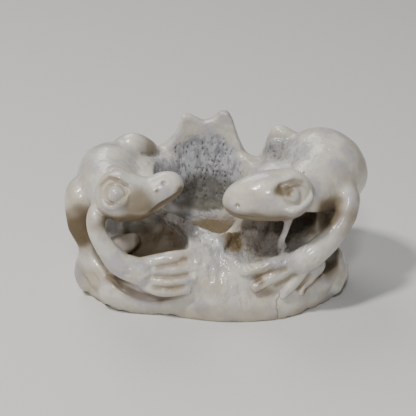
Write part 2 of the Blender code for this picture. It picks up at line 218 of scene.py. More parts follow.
@dataclass
class Clay:
    """A block of cells that hold their distance to the skin: below nought is inside.

    Sizes are in mm. The block is a little larger than the carving all round.
    """

    low: Point = (-32.0, -21.5, -1.4)
    high: Point = (32.0, 22.0, 33.4)
    grain: float = 0.24
    skin: Grid = field(init=False)
    axes: list[Grid] = field(init=False)

    def __post_init__(self) -> None:
        """Starts with an empty block."""
        self.axes = [
            np.arange(lo, hi, self.grain, dtype=np.float32) for lo, hi in zip(self.low, self.high)
        ]
        self.skin = np.full([len(a) for a in self.axes], FAR, np.float32)

    def window(self, low: Grid, high: Grid) -> tuple[tuple[slice, ...], list[Grid]]:
        """The cells between two corners.

        Args:
            low: The lowest corner.
            high: The highest corner.

        Returns:
            The slices of those cells, and their open X, Y and Z places.
        """
        cuts, places = [], []
        for axis, values in enumerate(self.axes):
            first = int(np.clip((low[axis] - self.low[axis]) / self.grain, 0, len(values) - 2))
            last = int(np.clip((high[axis] - self.low[axis]) / self.grain + 2, first + 1, len(values)))
            cuts.append(slice(first, last))
            places.append(along_axis(values[first:last], axis))
        return tuple(cuts), places

    def around(self, run: Grid, margin: float) -> tuple[tuple[slice, ...], list[Grid]]:
        """The cells round a run of stations.

        Args:
            run: One row of x, y, z, radius for each station.
            margin: How far past the radius they reach, in mm.

        Returns:
            The slices of those cells, and their open X, Y and Z places.
        """
        low = (run[:, :3] - run[:, 3:]).min(0) - margin
        high = (run[:, :3] + run[:, 3:]).max(0) + margin
        return self.window(low, high)

    def everywhere(self) -> list[Grid]:
        """Open X, Y and Z places of the whole block."""
        return self.window(self.low, self.high)[1]

    def work(self, cuts: tuple[slice, ...], shape: Grid, stroke: Stroke, blend: float) -> None:
        """Presses a shape on or cuts it out, within a window.

        Args:
            cuts: The window's cells.
            shape: The distance to the shape, in those cells.
            stroke: Pressed on or cut out.
            blend: How far its edge is rounded.
        """
        here = self.skin[cuts]
        if stroke is Stroke.ADD:
            self.skin[cuts] = soft_lower(here, shape, blend)
        else:
            self.skin[cuts] = -soft_lower(-here, shape, blend)

    def whole(self, shape: Grid, stroke: Stroke, blend: float) -> None:
        """Works a shape that is given over the whole block."""
        self.work((slice(None),) * 3, shape, stroke, blend)

    def ball(
        self, centre: Point, half: Point, stroke: Stroke, blend: float, turn: Grid | None = None
    ) -> None:
        """Works an ellipsoid.

        Args:
            centre: Its middle.
            half: Its half sizes.
            stroke: Pressed on or cut out.
            blend: How far its edge is rounded.
            turn: Its own three axes as rows, if they aren't X, Y and Z.
        """
        reach = max(half) + blend + 2 * self.grain
        middle = np.array(centre, float)
        cuts, (x, y, z) = self.window(middle - reach, middle + reach)
        x, y, z = x - centre[0], y - centre[1], z - centre[2]
        if turn is not None:
            x, y, z = (x * row[0] + y * row[1] + z * row[2] for row in turn)
        near = np.sqrt((x / half[0]) ** 2 + (y / half[1]) ** 2 + (z / half[2]) ** 2)
        steep = np.sqrt((x / half[0] ** 2) ** 2 + (y / half[1] ** 2) ** 2 + (z / half[2] ** 2) ** 2)
        self.work(cuts, (near * (near - 1) / np.maximum(steep, 1e-4)).astype(np.float32), stroke, blend)

    def limb(self, stations: Sequence[Station], stroke: Stroke, blend: float) -> None:
        """Works a round limb along a smooth run through stations.

        Args:
            stations: The places and radii that it passes through.
            stroke: Pressed on or cut out.
            blend: How far its edge is rounded.
        """
        run = smooth_path(stations)
        margin = blend + 2 * self.grain
        cuts, places = self.around(run, margin)
        shape = np.full([p.size for p in places], FAR, np.float32)
        starts = [c.start for c in cuts]
        for a, b in zip(run, run[1:]):
            near, places = self.around(np.array([a, b]), margin)
            inner = tuple(slice(n.start - s, n.stop - s) for n, s in zip(near, starts))
            way = b[:3] - a[:3]
            along = sum((p - a[i]) * way[i] for i, p in enumerate(places))
            t = np.clip(along / max(float(way @ way), 1e-9), 0, 1)
            gap = sum((p - a[i] - t * way[i]) ** 2 for i, p in enumerate(places))
            inner_shape = np.sqrt(gap) - (a[3] + t * (b[3] - a[3]))
            room = tuple(slice(0, n) for n in shape[inner].shape)
            shape[inner] = np.minimum(shape[inner], inner_shape[room])
        self.work(cuts, shape, stroke, blend)

    def groove(self, line: Grid, radii: Grid | float, blend: float) -> None:
        """Cuts a round groove along places, with one radius or one for each place."""
        sizes = np.broadcast_to(radii, len(line))
        self.limb([(*p, r) for p, r in zip(line, sizes)], Stroke.CUT, blend)

    def carve(self, stations: Sequence[Station], lift: float, blend: float) -> Grid:
        """Cuts a round groove along stations that are first moved to the skin.

        Args:
            stations: Places near the skin, and the radius there.
            lift: How far above the skin the groove's middle runs, in mm.
            blend: How far its edge is rounded.

        Returns:
            The middle's places.
        """
        rows = np.array(stations)
        middle = self.on_skin(rows[:, :3], lift)
        self.groove(middle, rows[:, 3], blend)
        return middle

    def sample(self, grid: Grid, points: Grid) -> Grid:
        """A grid's values at points, each eased between its eight cells.

        Args:
            grid: Values over the block.
            points: One row per point.

        Returns:
            One value per point.
        """
        reach = (points - np.array(self.low)) / self.grain
        reach = np.clip(reach, 0, np.array(grid.shape) - 1.001)
        first = reach.astype(int)
        share = reach - first
        value = np.zeros(len(points))
        for corner in np.ndindex(2, 2, 2):
            weight = np.prod(np.where(corner, share, 1 - share), axis=1)
            i, j, k = (first + corner).T
            value += weight * grid[i, j, k]
        return value

    def outward(self, points: Grid) -> Grid:
        """The direction straight out of the skin.

        Args:
            points: One row per point.

        Returns:
            One row per point, each one unit long.
        """
        step = np.eye(3) * self.grain
        rise = [self.sample(self.skin, points + s) - self.sample(self.skin, points - s) for s in step]
        way = np.stack(rise, 1)
        return way / np.maximum(np.linalg.norm(way, axis=1, keepdims=True), 1e-9)

    def shut_in(self, points: Grid, out: Grid, reach: float, looks: int = 26) -> Grid:
        """How much the carving itself closes in on each point: 0 in the open, 1 in a hole.

        Args:
            points: Places on the skin.
            out: The direction out of the skin at each.
            reach: How far away the carving still counts, in mm.
            looks: How many ways are looked, evenly over a sphere.

        Returns:
            One share per point.
        """
        turn = np.arange(looks) * math.pi * (3 - math.sqrt(5))
        rise = 1 - (2 * np.arange(looks) + 1) / looks
        flat = np.sqrt(1 - rise**2)
        first, count, crowding = 0.25, 8, 1.6
        steps = reach * np.linspace(first, 1.0, count) ** crowding
        blocked, total = np.zeros(len(points)), np.zeros(len(points))
        limit = np.array(self.skin.shape) - 1
        for way in np.stack([flat * np.cos(turn), flat * np.sin(turn), rise], 1):
            slant = out @ way
            seen = np.maximum(slant, 0)
            hit = np.zeros(len(points), bool)
            for step in steps:
                spot = points + out * self.grain + way * step
                cell = np.clip(((spot - np.array(self.low)) / self.grain + 0.5).astype(int), 0, limit)
                hit |= self.skin[tuple(cell.T)] < 0
            blocked += seen * hit
            total += seen
        return blocked / np.maximum(total, 1e-6)

    def on_skin(self, points: list[Point] | Grid, lift: float = 0.0) -> Grid:
        """Moves points to the nearest skin.

        Args:
            points: The places, near the skin.
            lift: How far above the skin they end, in mm.

        Returns:
            One row per point.
        """
        places = np.array(points, float)
        for _ in range(SKIN_STEPS):
            away = self.sample(self.skin, places) - lift
            places = places - self.outward(places) * np.clip(away, -STRIDE, STRIDE)[:, None]
        return places

    def draw_skin(self) -> tuple[Grid, Grid]:
        """The skin as four-sided faces.

        Returns:
            The points in mm, and the four point numbers of each face.
        """
        inside = self.skin < 0
        corners = list(np.ndindex(2, 2, 2))
        nx, ny, nz = (n - 1 for n in inside.shape)
        count = np.zeros((nx, ny, nz), np.int8)
        for i, j, k in corners:
            count += inside[i : i + nx, j : j + ny, k : k + nz]
        cells = np.argwhere((count > 0) & (count < 8))
        number = np.full((nx, ny, nz), -1, np.int32)
        number[tuple(cells.T)] = np.arange(len(cells))
        total, hits = np.zeros((len(cells), 3)), np.zeros((len(cells), 1))
        for start in corners:
            for axis in range(3):
                if start[axis]:
                    continue
                end = tuple(1 if i == axis else s for i, s in enumerate(start))
                a = self.skin[tuple((cells + start).T)]
                b = self.skin[tuple((cells + end).T)]
                cross = ((a < 0) != (b < 0))[:, None]
                t = (a / np.where(a == b, 1, a - b))[:, None]
                place = np.array(start) + t * (np.array(end) - start)
                total += np.where(cross, place, 0)
                hits += cross
        points = np.array(self.low) + self.grain * (cells + total / hits)
        faces = []
        for axis in range(3):
            one, two = [i for i in range(3) if i != axis]
            size = list(inside.shape)
            low = tuple(slice(0, size[i] - 1) if i == axis else slice(1, size[i] - 1) for i in range(3))
            high = tuple(slice(1, size[i]) if i == axis else slice(1, size[i] - 1) for i in range(3))
            edge = np.argwhere(inside[low] != inside[high]) + [0 if i == axis else 1 for i in range(3)]
            outward = inside[tuple(edge.T)]
            step_one, step_two = np.eye(3, dtype=int)[one], np.eye(3, dtype=int)[two]
            ring = [edge - step_one - step_two, edge - step_two, edge, edge - step_one]
            quad = np.stack([number[tuple(r.T)] for r in ring], 1)
            forward = outward if axis != 1 else ~outward
            faces.append(np.where(forward[:, None], quad, quad[:, ::-1]))
        return points, np.concatenate(faces)


@dataclass
class Burr:
    """The oval body of the antler's burr, its crest, hollow and front rim, before the frogs."""

    middle: float = -0.6  # of the oval body, from left to right
    # Height, front, back and half length of each level.
    levels: tuple[Station, ...] = (
        (-1.0, -19.4, 19.6, 26.8), (2.5, -19.5, 20.0, 27.5), (5.0, -18.3, 19.3, 26.8),
        (8.0, -16.4, 18.2, 25.0), (12.0, -13.8, 17.2, 23.4), (16.0, -11.2, 16.9, 22.6),
        (20.0, -9.2, 16.9, 21.6), (23.0, -6.0, 15.0, 17.0),
    )
    level_ease: float = 0.9
    lean: float = 0.9  # share of the level distance to a wall that leans
    # Direction in degrees, half width and depth of the foot's flat and of its bulge.
    flats: tuple[Point, ...] = ((-108.0, 22.0, 0.10), (-58.0, 12.0, -0.03))
    flat_heights: tuple[float, float] = (8.0, 4.0)  # where they end, and are full
    top: float = 22.6
    top_round: float = 1.2
    # The crest: its line from above, how it bends and leans, and how its top thins.
    crest_line: float = 15.8
    crest_middle: float = -1.5
    crest_bend: float = 0.012
    crest_lean: float = 0.03
    crest_foot: float = 14.0
    crest_low: float = 4.0
    crest_ends: tuple[float, float] = (-15.0, 11.0)
    crest_thickness: float = 4.0
    crest_taper: float = 0.22
    crest_heights: tuple[float, float] = (24.0, 32.0)
    crest_round: float = 1.5
    crest_end_round: float = 1.0
    crest_ease: float = 0.28
    crest_edge: tuple[tuple[float, float], ...] = (
        (-15.0, 22.4), (-12.8, 23.8), (-10.6, 24.8), (-8.9, 26.4), (-7.6, 28.8), (-6.9, 31.5),
        (-5.4, 31.2), (-2.4, 29.6), (-0.4, 30.1), (1.2, 31.9), (2.6, 31.9), (3.8, 30.0), (4.8, 26.4),
        (6.2, 23.0), (8.2, 21.3), (11.0, 21.3),
    )
    # Middle and half sizes of the masses behind each frog's arm, and under each hand.
    shoulders: tuple[tuple[Point, Point], ...] = (
        ((-14.6, 2.6, 17.0), (8.4, 9.6, 8.0)), ((13.6, 2.8, 17.0), (8.6, 9.6, 8.6)),
    )
    grounds: tuple[tuple[Point, Point], ...] = (
        ((-9.0, -11.4, 9.4), (9.0, 5.2, 5.4)), ((-16.4, -12.6, 3.8), (7.0, 3.4, 3.6)),
        ((12.0, -11.2, 9.2), (10.0, 4.8, 5.6)), ((13.6, 8.2, 25.2), (3.6, 2.4, 3.4)),
    )
    floor: float = 10.0
    floor_round: float = 1.4
    squareness: tuple[float, float] = (2.1, 2.8)  # of the hollow's front and back: 2 is a true oval
    hollow_ease: float = 0.5
    # Height above the floor, middle x and y, half sizes along X and Y.
    hollow: tuple[tuple[float, float, float, float, float], ...] = (
        (0.0, -3.0, 3.6, 6.4, 7.6), (0.6, -3.0, 3.6, 7.4, 9.0), (2.0, -2.8, 3.4, 8.2, 10.4),
        (5.0, -2.4, 3.0, 8.6, 11.2), (10.0, -2.2, 2.4, 9.2, 11.8), (13.0, -2.0, 1.8, 10.4, 12.5),
        (25.0, -1.8, 1.4, 12.0, 13.0),
    )
    rim: tuple[tuple[float, float], ...] = (
        (-11.5, 20.2), (-8.2, 18.7), (-5.2, 17.9), (-2.6, 16.9), (-0.4, 16.1), (0.9, 16.1), (2.0, 17.0),
        (2.9, 17.9), (3.3, 20.4),
    )
    rim_ease: float = 0.3
    notch_back: float = -4.0
    notch_top: float = 30.0
    # Run of the scoop that thins the front rim from behind.
    scoop: tuple[Station, ...] = (
        (-10.4, -2.9, 21.1, 4.0), (-8.0, -4.0, 20.2, 4.0), (-5.2, -5.3, 19.4, 4.0),
        (-2.6, -6.4, 18.4, 4.0), (-0.4, -7.0, 17.5, 4.0), (0.9, -7.2, 17.5, 3.9), (2.0, -6.7, 18.4, 3.6),
        (3.0, -5.7, 19.4, 3.2),
    )
    # Middle, half sizes and how round the edge of each pocket is.
    pockets: tuple[tuple[Point, Point, float], ...] = (
        ((-15.0, -12.5, 15.8), (6.2, 7.6, 4.6), 0.4), ((-10.4, -13.6, 15.0), (5.2, 5.6, 4.2), 0.4),
        ((9.6, -14.0, 15.8), (6.2, 6.6, 4.6), 2.4), ((17.0, -9.5, 16.6), (5.4, 8.2, 4.4), 0.6),
    )
    # The hollow's left edge, behind the left frog's head.
    ridge: tuple[Station, ...] = (
        (-18.0, 0.0, 23.0, 2.6), (-14.8, 4.4, 23.0, 2.4), (-12.6, 8.4, 21.0, 3.0),
        (-10.7, 12.6, 19.8, 3.0), (-7.6, 14.8, 17.0, 2.8),
    )
    # A slit between the front rim and the right pocket.
    slit: tuple[Station, ...] = (
        (6.6, -11.0, 17.0, 1.0), (4.6, -11.9, 15.2, 1.3), (2.6, -12.9, 13.3, 0.9),
    )
    # The slanting mass between the slit and that pocket.
    slant: tuple[Station, ...] = (
        (9.4, -6.9, 18.2, 2.4), (7.8, -7.1, 15.2, 2.4), (6.4, -9.4, 11.4, 2.0), (5.6, -12.0, 9.6, 2.2),
    )
    # How far the edges are rounded, in mm.
    mass_blend: float = 1.6
    ground_blend: float = 2.5
    torso_blend: float = 1.0
    slant_blend: float = 1.2
    hollow_blend: float = 0.4
    rim_blend: float = 0.2

    def above(self, clay: Clay, edge: Sequence[tuple[float, float]], ease: float) -> Grid:
        """How far above an edge the block's places are, square to the edge.

        Args:
            clay: The block to work in.
            edge: The edge's height for places along X.
            ease: How far its corners are spread, in mm.

        Returns:
            The distance, over the block.
        """
        x, _, z = clay.everywhere()
        height = eased_line(edge, x.ravel(), ease)
        slope = along_axis(np.gradient(height, clay.grain), 0)
        return (z - along_axis(height, 0)) / np.sqrt(1 + slope**2)

    def body(self, clay: Clay) -> Grid:
        """The oval body.

        Args:
            clay: The block to work in.

        Returns:
            The distance to it, over the block.
        """
        x, y, z = clay.everywhere()
        front, back, half = eased_columns(self.levels, z.ravel(), self.level_ease)
        middle, depth = (front + back) / 2, (back - front) / 2
        u, v = x - self.middle, y - middle
        angle = np.degrees(np.arctan2(v / depth, u / half))
        flat = sum(deep * np.exp(-(((angle - at) / wide) ** 2)) for at, wide, deep in self.flats)
        reach = 1 - flat * ramp(*self.flat_heights, z)
        near = np.sqrt((u / (half * reach)) ** 2 + (v / (depth * reach)) ** 2)
        steep = np.sqrt((u / half**2) ** 2 + (v / depth**2) ** 2) / np.maximum(near, 1e-3)
        wall = (near - 1) / np.maximum(steep, 1e-3) * self.lean
        return soft_higher(wall, z - self.top, self.top_round)

    def crest(self, clay: Clay) -> Grid:
        """The tall wall at the back.

        Args:
            clay: The block to work in.

        Returns:
            The distance to it, over the block.
        """
        x, y, z = clay.everywhere()
        over = self.above(clay, self.crest_edge, self.crest_ease)
        bend = self.crest_bend * (x - self.crest_middle) ** 2
        line = self.crest_line - bend - self.crest_lean * (z - self.crest_foot)
        thickness = self.crest_thickness * (1 - self.crest_taper * ramp(*self.crest_heights, z))
        face = np.abs(y - line) - thickness / 2
        wall = soft_higher(face, over, self.crest_round)
        ends = np.maximum(outside(x, *self.crest_ends), self.crest_low - z)
        return soft_higher(wall, ends, self.crest_end_round)

    def hollow_shape(self, clay: Clay) -> Grid:
        """The space of the hollow.

        Args:
            clay: The block to work in.

        Returns:
            The distance to it, over the block.
        """
        x, y, z = clay.everywhere()
        heights = z.ravel() - self.floor
        mid_x, mid_y, half_x, half_y = eased_columns(self.hollow, heights, self.hollow_ease)
        u, v = (x - mid_x) / half_x, (y - mid_y) / half_y
        front, back = self.squareness
        power = np.where(v > 0, back, front)
        near = (np.abs(u) ** power + np.abs(v) ** power) ** (1 / power)
        wall = (near - 1) * np.minimum(half_x, half_y)
        return soft_higher(wall, self.floor - z, self.floor_round)

    def notch_shape(self, clay: Clay) -> Grid:
        """The space above the front rim.

        Args:
            clay: The block to work in.

        Returns:
            The distance to it, over the block.
        """
        x, y, z = clay.everywhere()
        under = -self.above(clay, self.rim, self.rim_ease)
        ends = outside(x, self.rim[0][0], self.rim[-1][0])
        return np.maximum(under, np.maximum(ends, np.maximum(y - self.notch_back, z - self.notch_top)))

    def build(self, clay: Clay, torsos: list[list[Station]]) -> None:
        """Presses the burr and the frogs' torsos together, then cuts the hollow and pockets.

        Args:
            clay: The block to work in.
            torsos: The frogs' torsos, which the hollow and the pockets cut as well.
        """
        clay.whole(self.body(clay), Stroke.ADD, 0.0)
        clay.whole(self.crest(clay), Stroke.ADD, self.mass_blend)
        for centre, half in self.shoulders:
            clay.ball(centre, half, Stroke.ADD, self.mass_blend)
        for centre, half in self.grounds:
            clay.ball(centre, half, Stroke.ADD, self.ground_blend)
        for torso in torsos:
            clay.limb(torso, Stroke.ADD, self.torso_blend)
        clay.whole(self.hollow_shape(clay), Stroke.CUT, self.hollow_blend)
        clay.whole(self.notch_shape(clay), Stroke.CUT, self.rim_blend)
        clay.limb(self.scoop, Stroke.CUT, self.rim_blend)
        clay.limb(self.ridge, Stroke.ADD, self.mass_blend)
        for centre, half, blend in self.pockets:
            clay.ball(centre, half, Stroke.CUT, blend)
        clay.limb(self.slant, Stroke.ADD, self.slant_blend)
        clay.limb(self.slit, Stroke.CUT, self.hollow_blend)


@dataclass
class Eye:
    """One eye: a ball in a ring groove, a lid below it and a brow crease above."""

    centre: Point
    radius: float
    brow: list[Point]
    lid: list[Point]
    ring: float = 2.25
    ring_step: int = 24  # in degrees
    crease: float = 0.5
    proud: float = 0.5  # how far the ball stands out of its seat
    corner: Station | None = None  # the hollow in front of the ball
    grime_and_shade: float = 1.0  # share of the full dirt and painted shade in its grooves
    ring_groove: float = 0.4
    # Dirt and painted shade in the ring groove and in the brow crease.
    ring_dirt_and_shade: Smear = (0.75, 0.6)
    brow_dirt_and_shade: Smear = (1.0, 0.65)
    lid_profile: Profile = ((0.0, 0.25), (0.2, 0.66), (0.8, 0.64), (1.0, 0.25))
    groove_blend: float = 0.25
    lid_blend: float = 0.3
    corner_blend: float = 0.7
    ball_blend: float = 0.12
    lift: float = 0.05  # how far off the skin the ring's and the lid's middles run
    brow_lift: float = 0.02

    def build(self, clay: Clay, dirt_and_shade: DirtAndShade) -> None:
        """Models the socket, the lid and the brow, then sets the ball in.

        Args:
            clay: The block to work in.
            dirt_and_shade: The dirt and painted shade, which darken the brow crease and round the ball.
        """
        out = clay.outward(np.array([self.centre]))[0]
        side = np.cross(out, (0.0, 0.0, 1.0))
        side /= np.linalg.norm(side)
        up = np.cross(side, out)
        seat = clay.on_skin([self.centre])[0]
        turns = np.radians(np.arange(0, 361, self.ring_step))
        ring = [seat + self.ring * (math.cos(t) * side + math.sin(t) * up) for t in turns]
        ring = clay.on_skin(ring, self.lift)
        clay.groove(ring, self.ring_groove * self.grime_and_shade**0.5, self.groove_blend)
        if self.corner:
            x, y, z, radius = self.corner
            clay.ball((x, y, z), (radius,) * 3, Stroke.CUT, self.corner_blend)
        lid = clay.on_skin(self.lid, self.lift)
        stations = [(*p, r) for p, r in zip(lid, tapered(len(lid), self.lid_profile))]
        clay.limb(stations, Stroke.ADD, self.lid_blend)
        brow = clay.on_skin(self.brow, self.brow_lift)
        clay.groove(brow, self.crease, self.groove_blend)
        dirt_and_shade.darken_along(brow, self.brow_dirt_and_shade, self.grime_and_shade)
        dirt_and_shade.darken_along(ring, self.ring_dirt_and_shade, self.grime_and_shade)
        ball = seat - out * (self.radius - self.proud)
        clay.ball(tuple(ball), (self.radius,) * 3, Stroke.ADD, self.ball_blend)


@dataclass
class Frog:
    """One frog: rows of (x, y, z, radius) run from the body outwards."""

    name: str
    skull: list[Station]
    jaw: list[Station]
    eyes: list[Eye]
    nostrils: list[Station]
    mouth: list[Station]
    torso: list[Station]
    shoulder: list[Station]
    arm: list[Station]
    digits: list[list[Station]]
    outer_leg: list[Station]
    outer_toes: list[list[Station]]
    inner_leg: list[Station]
    inner_toes: list[list[Station]]
    folds: list[list[Station]]
    toes_parted: bool = False
    webbing: float = 0.0  # how thick the skin between the fingers is, as a share of theirs
    sunk: tuple[float, ...] = (0.6, 1.4)  # how far behind the fingers its layers lie, in mm
    leg_blend: float = 0.7
    toe_blend: float = 0.7
    shoulder_blend: float = 2.0
    arm_blend: float = 0.6
    digit_blend: float = 0.5
    jaw_blend: float = 0.8
    finger_groove: Profile = ((0.0, 0.05), (0.3, 0.2), (0.6, 0.2), (1.0, 0.05))
    # Dirt and painted shade in the grooves between the fingers.
    finger_dirt_and_shade: Smear = (0.95, 0.62)
    groove_blend: float = 0.25
    toe_groove: float = 0.1
    toe_groove_blend: float = 0.3
    lift: float = 0.05  # how far off the skin the middles of those grooves run
    fold_lift: float = 0.1
    fold_blend: float = 0.4
    # Painted shade in the folds under the arms.
    fold_shade: Smear = (1.7, 0.75)
    face_blend: float = 0.15  # of the nostrils and the mouth
    # Dirt and painted shade in the nostrils.
    nostril_dirt_and_shade: Smear = (0.7, 0.7)
    shave: float = 0.1  # how far off the skin the mouth's cutter runs
    # Painted shade under the lip along the mouth.
    mouth_shade: Smear = (1.0, 0.5)

    def part_fingers(self, clay: Clay, dirt_and_shade: DirtAndShade) -> None:
        """Lays the webs between the fingers and cuts the grooves.

        Args:
            clay: The block to work in.
            dirt_and_shade: The dirt and painted shade, which darken the grooves.
        """
        for one, two in zip(self.digits, self.digits[1:]):
            between = midway(one, two)
            for back in self.sunk if self.webbing else ():
                web = [(x, y + back, z, radius * self.webbing) for x, y, z, radius in between]
                clay.limb(web, Stroke.ADD, self.digit_blend)
            groove = clay.on_skin(between[2:, :3], self.lift)
            clay.groove(groove, tapered(len(groove), self.finger_groove), self.groove_blend)
            dirt_and_shade.darken_along(groove[2:-3], self.finger_dirt_and_shade)

    def build_limbs(self, clay: Clay, dirt_and_shade: DirtAndShade) -> None:
        """Lays on the legs, toes, arm and hand.

        Args:
            clay: The block to work in.
            dirt_and_shade: The dirt and painted shade, which darken between the digits and the folds.
        """
        clay.limb(self.outer_leg, Stroke.ADD, self.leg_blend)
        clay.limb(self.inner_leg, Stroke.ADD, self.leg_blend)
        for toe in self.outer_toes + self.inner_toes:
            clay.limb(toe, Stroke.ADD, self.toe_blend)
        clay.limb(self.shoulder, Stroke.ADD, self.shoulder_blend)
        clay.limb(self.arm, Stroke.ADD, self.arm_blend)
        for digit in self.digits:
            clay.limb(digit, Stroke.ADD, self.digit_blend)
        self.part_fingers(clay, dirt_and_shade)
        pairs = zip(self.outer_toes, self.outer_toes[1:]) if self.toes_parted else ()
        for one, two in pairs:
            groove = clay.on_skin(midway(one, two)[4:, :3], self.lift)
            clay.groove(groove, self.toe_groove, self.toe_groove_blend)
        # The folds under the arms get painted shade.
        for fold in self.folds:
            dirt_and_shade.darken_along(clay.carve(fold, self.fold_lift, self.fold_blend), self.fold_shade)

    def build_head(self, clay: Clay, dirt_and_shade: DirtAndShade) -> None:
        """Lays on the head and carves its face.

        Args:
            clay: The block to work in.
            dirt_and_shade: The dirt and painted shade, which darken the creases of the face.
        """
        clay.limb(self.skull, Stroke.ADD, self.digit_blend)
        clay.limb(self.jaw, Stroke.ADD, self.jaw_blend)
        for eye in self.eyes:
            eye.build(clay, dirt_and_shade)
        for x, y, z, radius in self.nostrils:
            pit = clay.on_skin([(x, y, z)])[0]
            clay.ball(tuple(pit), (radius,) * 3, Stroke.CUT, self.face_blend)
            dirt_and_shade.darken_along([pit, pit], self.nostril_dirt_and_shade)
        # Painted shade under the lip along the mouth.
        lips = clay.carve(self.mouth, self.shave, self.face_blend)
        dirt_and_shade.darken_along(clay.on_skin(lips), self.mouth_shade)


LEFT = Frog(
    name="left frog",
    skull=[
        (-18.6, -12.5, 24.9, 5.0), (-15.6, -12.8, 24.5, 4.4), (-12.7, -12.7, 25.1, 3.45),
        (-10.1, -12.4, 26.4, 3.05), (-8.9, -12.3, 26.9, 2.6),
    ],
    jaw=[(-18.4, -12.6, 23.0, 3.4), (-14.8, -12.6, 22.8, 2.6)],
    eyes=[
        Eye(
            centre=(-19.4, -17.4, 27.1),
            radius=1.75,
            crease=0.42,
            brow=[(-22.2, -14.3, 27.7), (-20.7, -14.1, 29.1), (-18.3, -15.3, 28.9), (-17.0, -15.8, 28.2)],
            lid=[
                (-21.8, -16.2, 25.4), (-21.0, -16.8, 24.6), (-20.0, -17.2, 24.3), (-18.7, -17.4, 24.8),
                (-17.5, -17.3, 25.6), (-16.8, -16.8, 26.5),
            ],
        ),
        Eye(
            centre=(-19.3, -7.4, 27.0),
            radius=1.8,
            grime_and_shade=0.4,
            brow=[(-21.6, -8.8, 28.0), (-19.4, -8.4, 29.0), (-17.2, -8.6, 28.2)],
            lid=[(-21.4, -7.8, 25.2), (-19.4, -7.0, 24.4), (-17.2, -7.6, 25.2)],
        ),
    ],
    nostrils=[(-10.0, -14.6, 28.2, 0.5), (-11.3, -15.5, 26.9, 0.32), (-9.6, -10.6, 28.0, 0.4)],
    mouth=[
        (-6.6, -13.4, 25.9, 0.8), (-7.7, -14.3, 25.3, 1.3), (-9.0, -14.8, 24.4, 1.5),
        (-10.7, -15.4, 23.4, 1.4), (-12.4, -15.8, 22.6, 0.8),
    ],
    torso=[
        (-19.5, 10.5, 20.0, 6.4), (-21.6, 4.0, 22.4, 6.5), (-21.8, -1.5, 22.4, 5.9),
        (-18.6, -8.0, 23.2, 4.6),
    ],
    shoulder=[(-21.4, -7.0, 22.4, 3.2), (-22.6, -11.6, 20.8, 2.1)],
    arm=[
        (-21.6, -9.6, 22.2, 2.6), (-23.3, -13.4, 20.4, 1.9), (-23.1, -14.6, 17.6, 1.8),
        (-21.2, -15.2, 14.2, 2.0), (-18.6, -15.4, 11.2, 2.4), (-14.8, -15.2, 9.4, 2.8),
    ],
    digits=[
        [(-14.0, -14.4, 10.8, 1.5), (-8.7, -14.6, 12.1, 1.4), (-4.2, -13.5, 12.8, 0.9)],
        [(-14.0, -14.9, 9.4, 1.5), (-8.6, -15.8, 10.1, 1.3), (-4.0, -14.9, 10.8, 0.9)],
        [(-14.0, -15.6, 8.0, 1.5), (-9.2, -16.9, 8.0, 1.3), (-4.2, -16.2, 8.5, 0.9)],
        [(-14.0, -16.0, 7.0, 1.4), (-10.0, -17.4, 6.3, 1.25), (-5.6, -17.1, 6.5, 0.9)],
    ],
    outer_leg=[
        (-20.5, 6.0, 19.0, 5.0), (-25.2, 0.5, 20.2, 4.0), (-27.0, -3.0, 20.4, 3.4),
        (-27.2, -4.6, 15.6, 2.8), (-25.8, -5.6, 11.2, 2.3), (-25.6, -6.2, 7.6, 2.4),
    ],
    outer_toes=[
        [(-25.2, -6.4, 8.6, 1.6), (-23.6, -8.8, 7.4, 1.4), (-22.0, -10.8, 5.8, 1.0)],
        [(-26.0, -6.0, 7.2, 1.6), (-25.0, -7.8, 5.8, 1.5), (-24.2, -9.4, 4.4, 1.1)],
        [(-26.9, -5.0, 6.0, 1.7), (-27.1, -5.8, 4.2, 1.7), (-26.6, -6.6, 2.4, 1.4)],
    ],
    inner_leg=[
        (-20.0, 9.4, 20.6, 4.6), (-18.8, 9.4, 24.8, 3.4), (-17.0, 9.2, 26.4, 2.7),
        (-14.4, 11.6, 24.4, 2.4), (-12.8, 15.4, 19.6, 2.2), (-12.6, 17.4, 13.0, 1.9),
        (-13.2, 18.2, 7.4, 2.1),
    ],
    inner_toes=[
        [(-13.2, 18.0, 7.0, 1.6), (-11.4, 18.9, 4.6, 1.4), (-9.8, 19.3, 3.0, 1.1)],
        [(-13.2, 18.0, 7.0, 1.6), (-13.6, 18.4, 4.2, 1.4), (-13.8, 18.3, 2.4, 1.1)],
        [(-13.2, 18.0, 7.0, 1.6), (-15.6, 17.4, 5.0, 1.4), (-17.4, 16.6, 3.6, 1.1)],
    ],
    folds=[
        [
            (-21.4, -11.9, 7.0, 0.1), (-20.2, -12.9, 6.0, 0.4), (-18.2, -14.0, 5.0, 0.7),
            (-15.0, -15.4, 4.2, 0.75), (-11.0, -16.6, 3.9, 0.65), (-7.0, -17.6, 4.2, 0.4),
        ],
    ],
    toes_parted=True,
    webbing=0.98,
    toe_blend=1.3,
    shave=0.75,
    mouth_shade=(1.7, 0.85),
)

